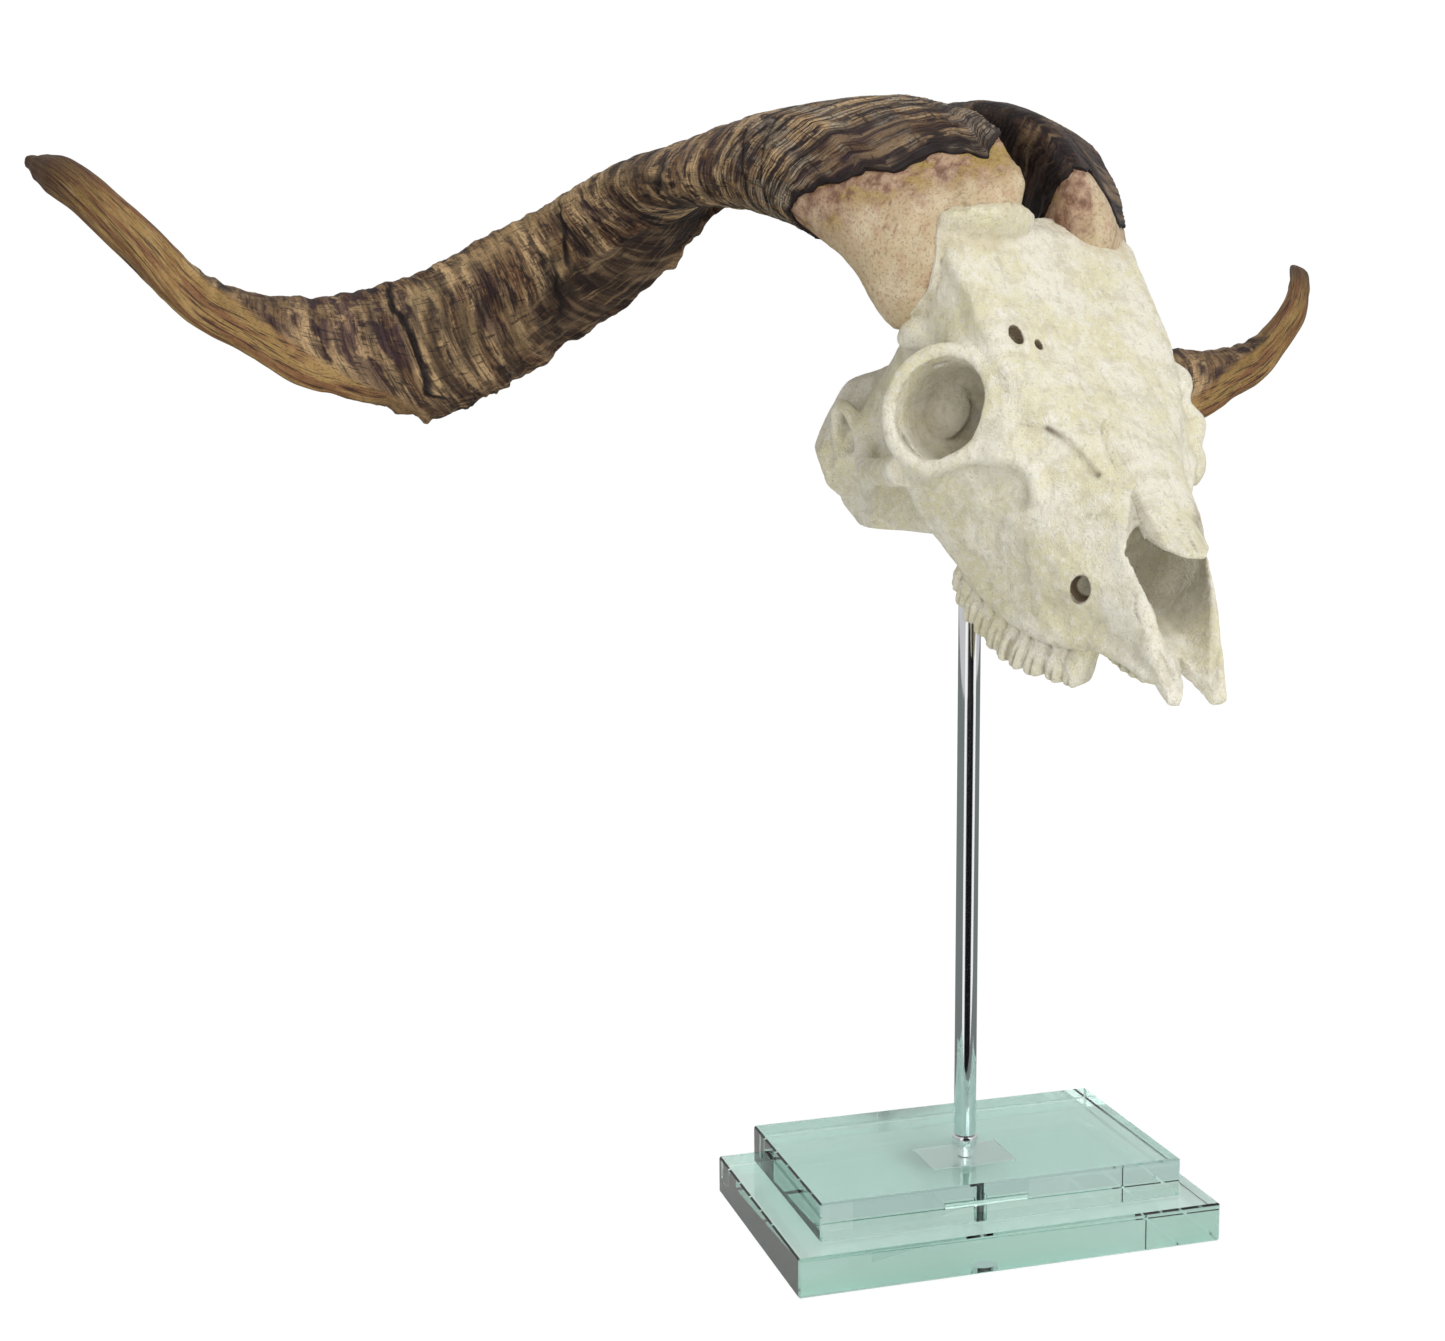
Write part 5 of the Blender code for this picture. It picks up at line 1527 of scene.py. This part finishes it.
class StudioLook(bpy.types.PropertyGroup):
    """Light and floor of the studio."""
    floor: colour_of("Floor", "#F4F4F2", "Pale floor")
    key_power: bpy.props.FloatProperty(
        name="Key light", description="Power of the soft key light", default=18.5, min=0.0, unit="POWER")
    sky: bpy.props.FloatProperty(
        name="Sky", description="Strength of the white surroundings", default=0.67, min=0.0)


# ---- operators ----


class MakeSkull(bpy.types.Operator):
    """Makes the skull with its teeth in place of the plain skull solids"""
    bl_idname = "goat_skull.skull"
    bl_label = "Skull"

    def execute(self, context):
        look = context.scene.goat_bone
        skull = make_clay()
        weather(skull)
        cores = [make_core(*horn) for horn in HORNS]
        note_blush(skull, [core.data for core in cores])
        paint = core_paint(look)
        for horn, core in zip(HORNS, cores):
            core.data.transform(SKULL_POSE)
            wear(core, paint)
            core.name = "horn_core_look_" + horn.side
            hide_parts("horn_core_" + horn.side)
            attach(core, "root")
        lean_nose(skull)
        skull.data.transform(SKULL_POSE)
        flatten_underside(skull)
        wear(skull, bone_paint(look), 60)
        skull.name = "skull_look"
        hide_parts("skull_cranium", "skull_face", "skull_premaxilla_right", "skull_premaxilla_left",
                    "skull_nasal_right", "skull_nasal_left")
        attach(skull, "root")
        return {"FINISHED"}


class MakeHorns(bpy.types.Operator):
    """Makes the ringed horn sheaths in place of the plain horn solids"""
    bl_idname = "goat_skull.horns"
    bl_label = "Horns"

    def execute(self, context):
        paint = sheath_paint(context.scene.goat_horn)
        for horn in HORNS:
            sheath = make_sheath(*horn)
            sheath.data.transform(SKULL_POSE)
            wear(sheath, paint)
            sheath.name = "horn_look_" + horn.side
            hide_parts("horn_" + horn.side)
            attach(sheath, "root")
        return {"FINISHED"}


class MakeStand(bpy.types.Operator):
    """Finishes the glass tiers, plate and bolt, and turns the rod and its collar"""
    bl_idname = "goat_skull.stand"
    bl_label = "Stand"

    def execute(self, context):
        look = context.scene.goat_stand
        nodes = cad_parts
        glass = glass_paint(look)
        # brushed along its length: a soft grey sheen with fine lines
        plate = metal_paint("brushed stainless steel", look.plate, (60.0, 2500.0, 2500.0), 3.0, (0.22, 0.42))
        # blackened: dark and half dull, with faint mottling of the oxide
        bolt = metal_paint("blackened steel", look.bolt, (500.0, 500.0, 500.0), 3.0, (0.30, 0.50))
        # polished and chromed: mirror bright, with the faintest drawn lines round it
        chrome = metal_paint("polished chromed steel", look.chrome, (900.0, 900.0, 40.0), 2.0, (0.03, 0.10))
        for name, paint, sharp in (("stand_base_lower", glass, 20), ("stand_base_upper", glass, 20),
                                   ("stand_plate", plate, 20), ("stand_bolt", bolt, 30)):
            wear(nodes[name], paint, sharp)
        for node, lip in (("stand_rod", ROD_LIP), ("stand_collar", COLLAR_LIP)):
            low, high = (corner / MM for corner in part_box(node))
            radius = (high.x - low.x) / 2
            edge = ((lip, 0.0), (lip * 0.3, lip * 0.3), (0.0, lip))
            profile = ([(radius - inset, low.z + up) for inset, up in edge]
                       + [(radius - inset, high.z - down) for inset, down in edge[::-1]])
            angles = even_angles(ROD_FACETS)
            rings = [[(r * cos(t), ROD_Y + r * sin(t), z) for t in angles] for r, z in profile]
            piece = loft(node + "_look", rings)
            wear(piece, chrome, 50)
            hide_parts(node)
            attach(piece, "root")
        return {"FINISHED"}


class MakeStudio(bpy.types.Operator):
    """Makes the floor, the soft lights, the surroundings and the camera"""
    bl_idname = "goat_skull.studio"
    bl_label = "Studio"

    def execute(self, context):
        scene = context.scene
        look = scene.goat_studio
        azimuth, pitch, roll = (radians(a) for a in (CAMERA_AZIMUTH, CAMERA_PITCH, CAMERA_ROLL))
        ahead = Vector((sin(azimuth) * cos(pitch), cos(azimuth) * cos(pitch), sin(pitch)))
        right = Vector((cos(azimuth), -sin(azimuth), 0))
        up = right.cross(ahead)
        right, up = cos(roll) * right + sin(roll) * up, cos(roll) * up - sin(roll) * right
        data = bpy.data.cameras.new("camera")
        data.sensor_width = SENSOR_WIDTH
        data.lens = SENSOR_WIDTH * CAMERA_FOCAL
        camera = add_object("camera", data)
        turn = Matrix((right, up, -ahead)).transposed().to_4x4()
        camera.matrix_world = Matrix.Translation(Vector(CAMERA_PLACE)) @ turn
        scene.camera = camera

        floor = sheet("studio_floor", FLOOR_SIZE, -FLOOR_SINK)
        floor.data.materials.append(floor_paint(look))
        for name, start, end, glow in CARDS:
            card = sheet("studio_reflection_card_" + name, 0.5, 0.0)
            front = Vector((ahead.x, ahead.y, 0)) * CARD_AWAY
            side = Vector((ahead.y, -ahead.x, 0)) * (start + end) / 2
            card.matrix_world = (Matrix.Translation(side - front + Vector((0, 0, CARD_HEIGHT / 2)))
                                 @ Matrix.Rotation(-azimuth, 4, "Z") @ Matrix.Rotation(radians(90), 4, "X")
                                 @ Matrix.Diagonal((end - start, CARD_HEIGHT, 1, 1)))
            # painted reflection: a sheet that only mirror rays see, an even stripe along the rod, black or,
            # where it glows, white
            paint, tree, shader, _ = new_paint("reflection card")
            fill(shader, Base_Color=(0.01, 0.01, 0.01, 1), Roughness=1.0, Emission_Color=(1, 1, 1, 1),
                 Emission_Strength=glow)
            card.data.materials.append(paint)
            for hidden in ("camera", "diffuse", "shadow", "transmission"):
                setattr(card, "visible_" + hidden, False)

        world = bpy.data.worlds.new("studio")
        scene.world = world
        world.use_nodes = True
        tree = world.node_tree
        seen = add_node(tree, "LightPath").outputs["Is Camera Ray"]
        sockets = {0: seen, 6: (1, 1, 1, 1), 7: (1.5, 1.5, 1.5, 1)}
        tone = add_node(tree, "Mix", sockets, data_type="RGBA").outputs[2]
        fill(tree.nodes["Background"], Color=tone, Strength=look.sky)
        for name, place, size, share in LAMPS:
            lamp = bpy.data.lights.new(name, "AREA")
            lamp.size = size
            lamp.energy = look.key_power * share
            lit = add_object(name, lamp)
            lit.location = place
            lit.rotation_euler = (Vector(LIT_SPOT) - Vector(place)).to_track_quat("-Z", "Y").to_euler()
        scene.view_settings.view_transform = "Standard"
        return {"FINISHED"}


class StudioPanel(bpy.types.Panel):
    """Lists the pieces of the goat skull."""
    bl_idname = "VIEW3D_PT_goat_skull"
    bl_label = "Goat skull"
    bl_space_type = "VIEW_3D"
    bl_region_type = "UI"
    bl_category = "Goat skull"

    def draw(self, context):
        for maker in MAKERS:
            self.layout.operator(maker.bl_idname)
        for look in (getattr(context.scene, name) for name in LOOKS):
            box_ui = self.layout.box()
            for name in look.bl_rna.properties.keys():
                if name not in ("rna_type", "name"):
                    box_ui.prop(look, name)


LOOKS = {"goat_bone": BoneLook, "goat_horn": HornLook, "goat_stand": StandLook, "goat_studio": StudioLook}
MAKERS = (MakeSkull, MakeHorns, MakeStand, MakeStudio)


def register():
    for kind in (*LOOKS.values(), *MAKERS, StudioPanel):
        bpy.utils.register_class(kind)
    for name, kind in LOOKS.items():
        setattr(bpy.types.Scene, name, bpy.props.PointerProperty(type=kind))


def unregister():
    for name in LOOKS:
        delattr(bpy.types.Scene, name)
    for kind in reversed((*LOOKS.values(), *MAKERS, StudioPanel)):
        bpy.utils.unregister_class(kind)


def main():
    register()
    bpy.ops.goat_skull.skull()
    bpy.ops.goat_skull.horns()
    bpy.ops.goat_skull.stand()
    bpy.ops.goat_skull.studio()


if __name__ == "__main__":
    main()
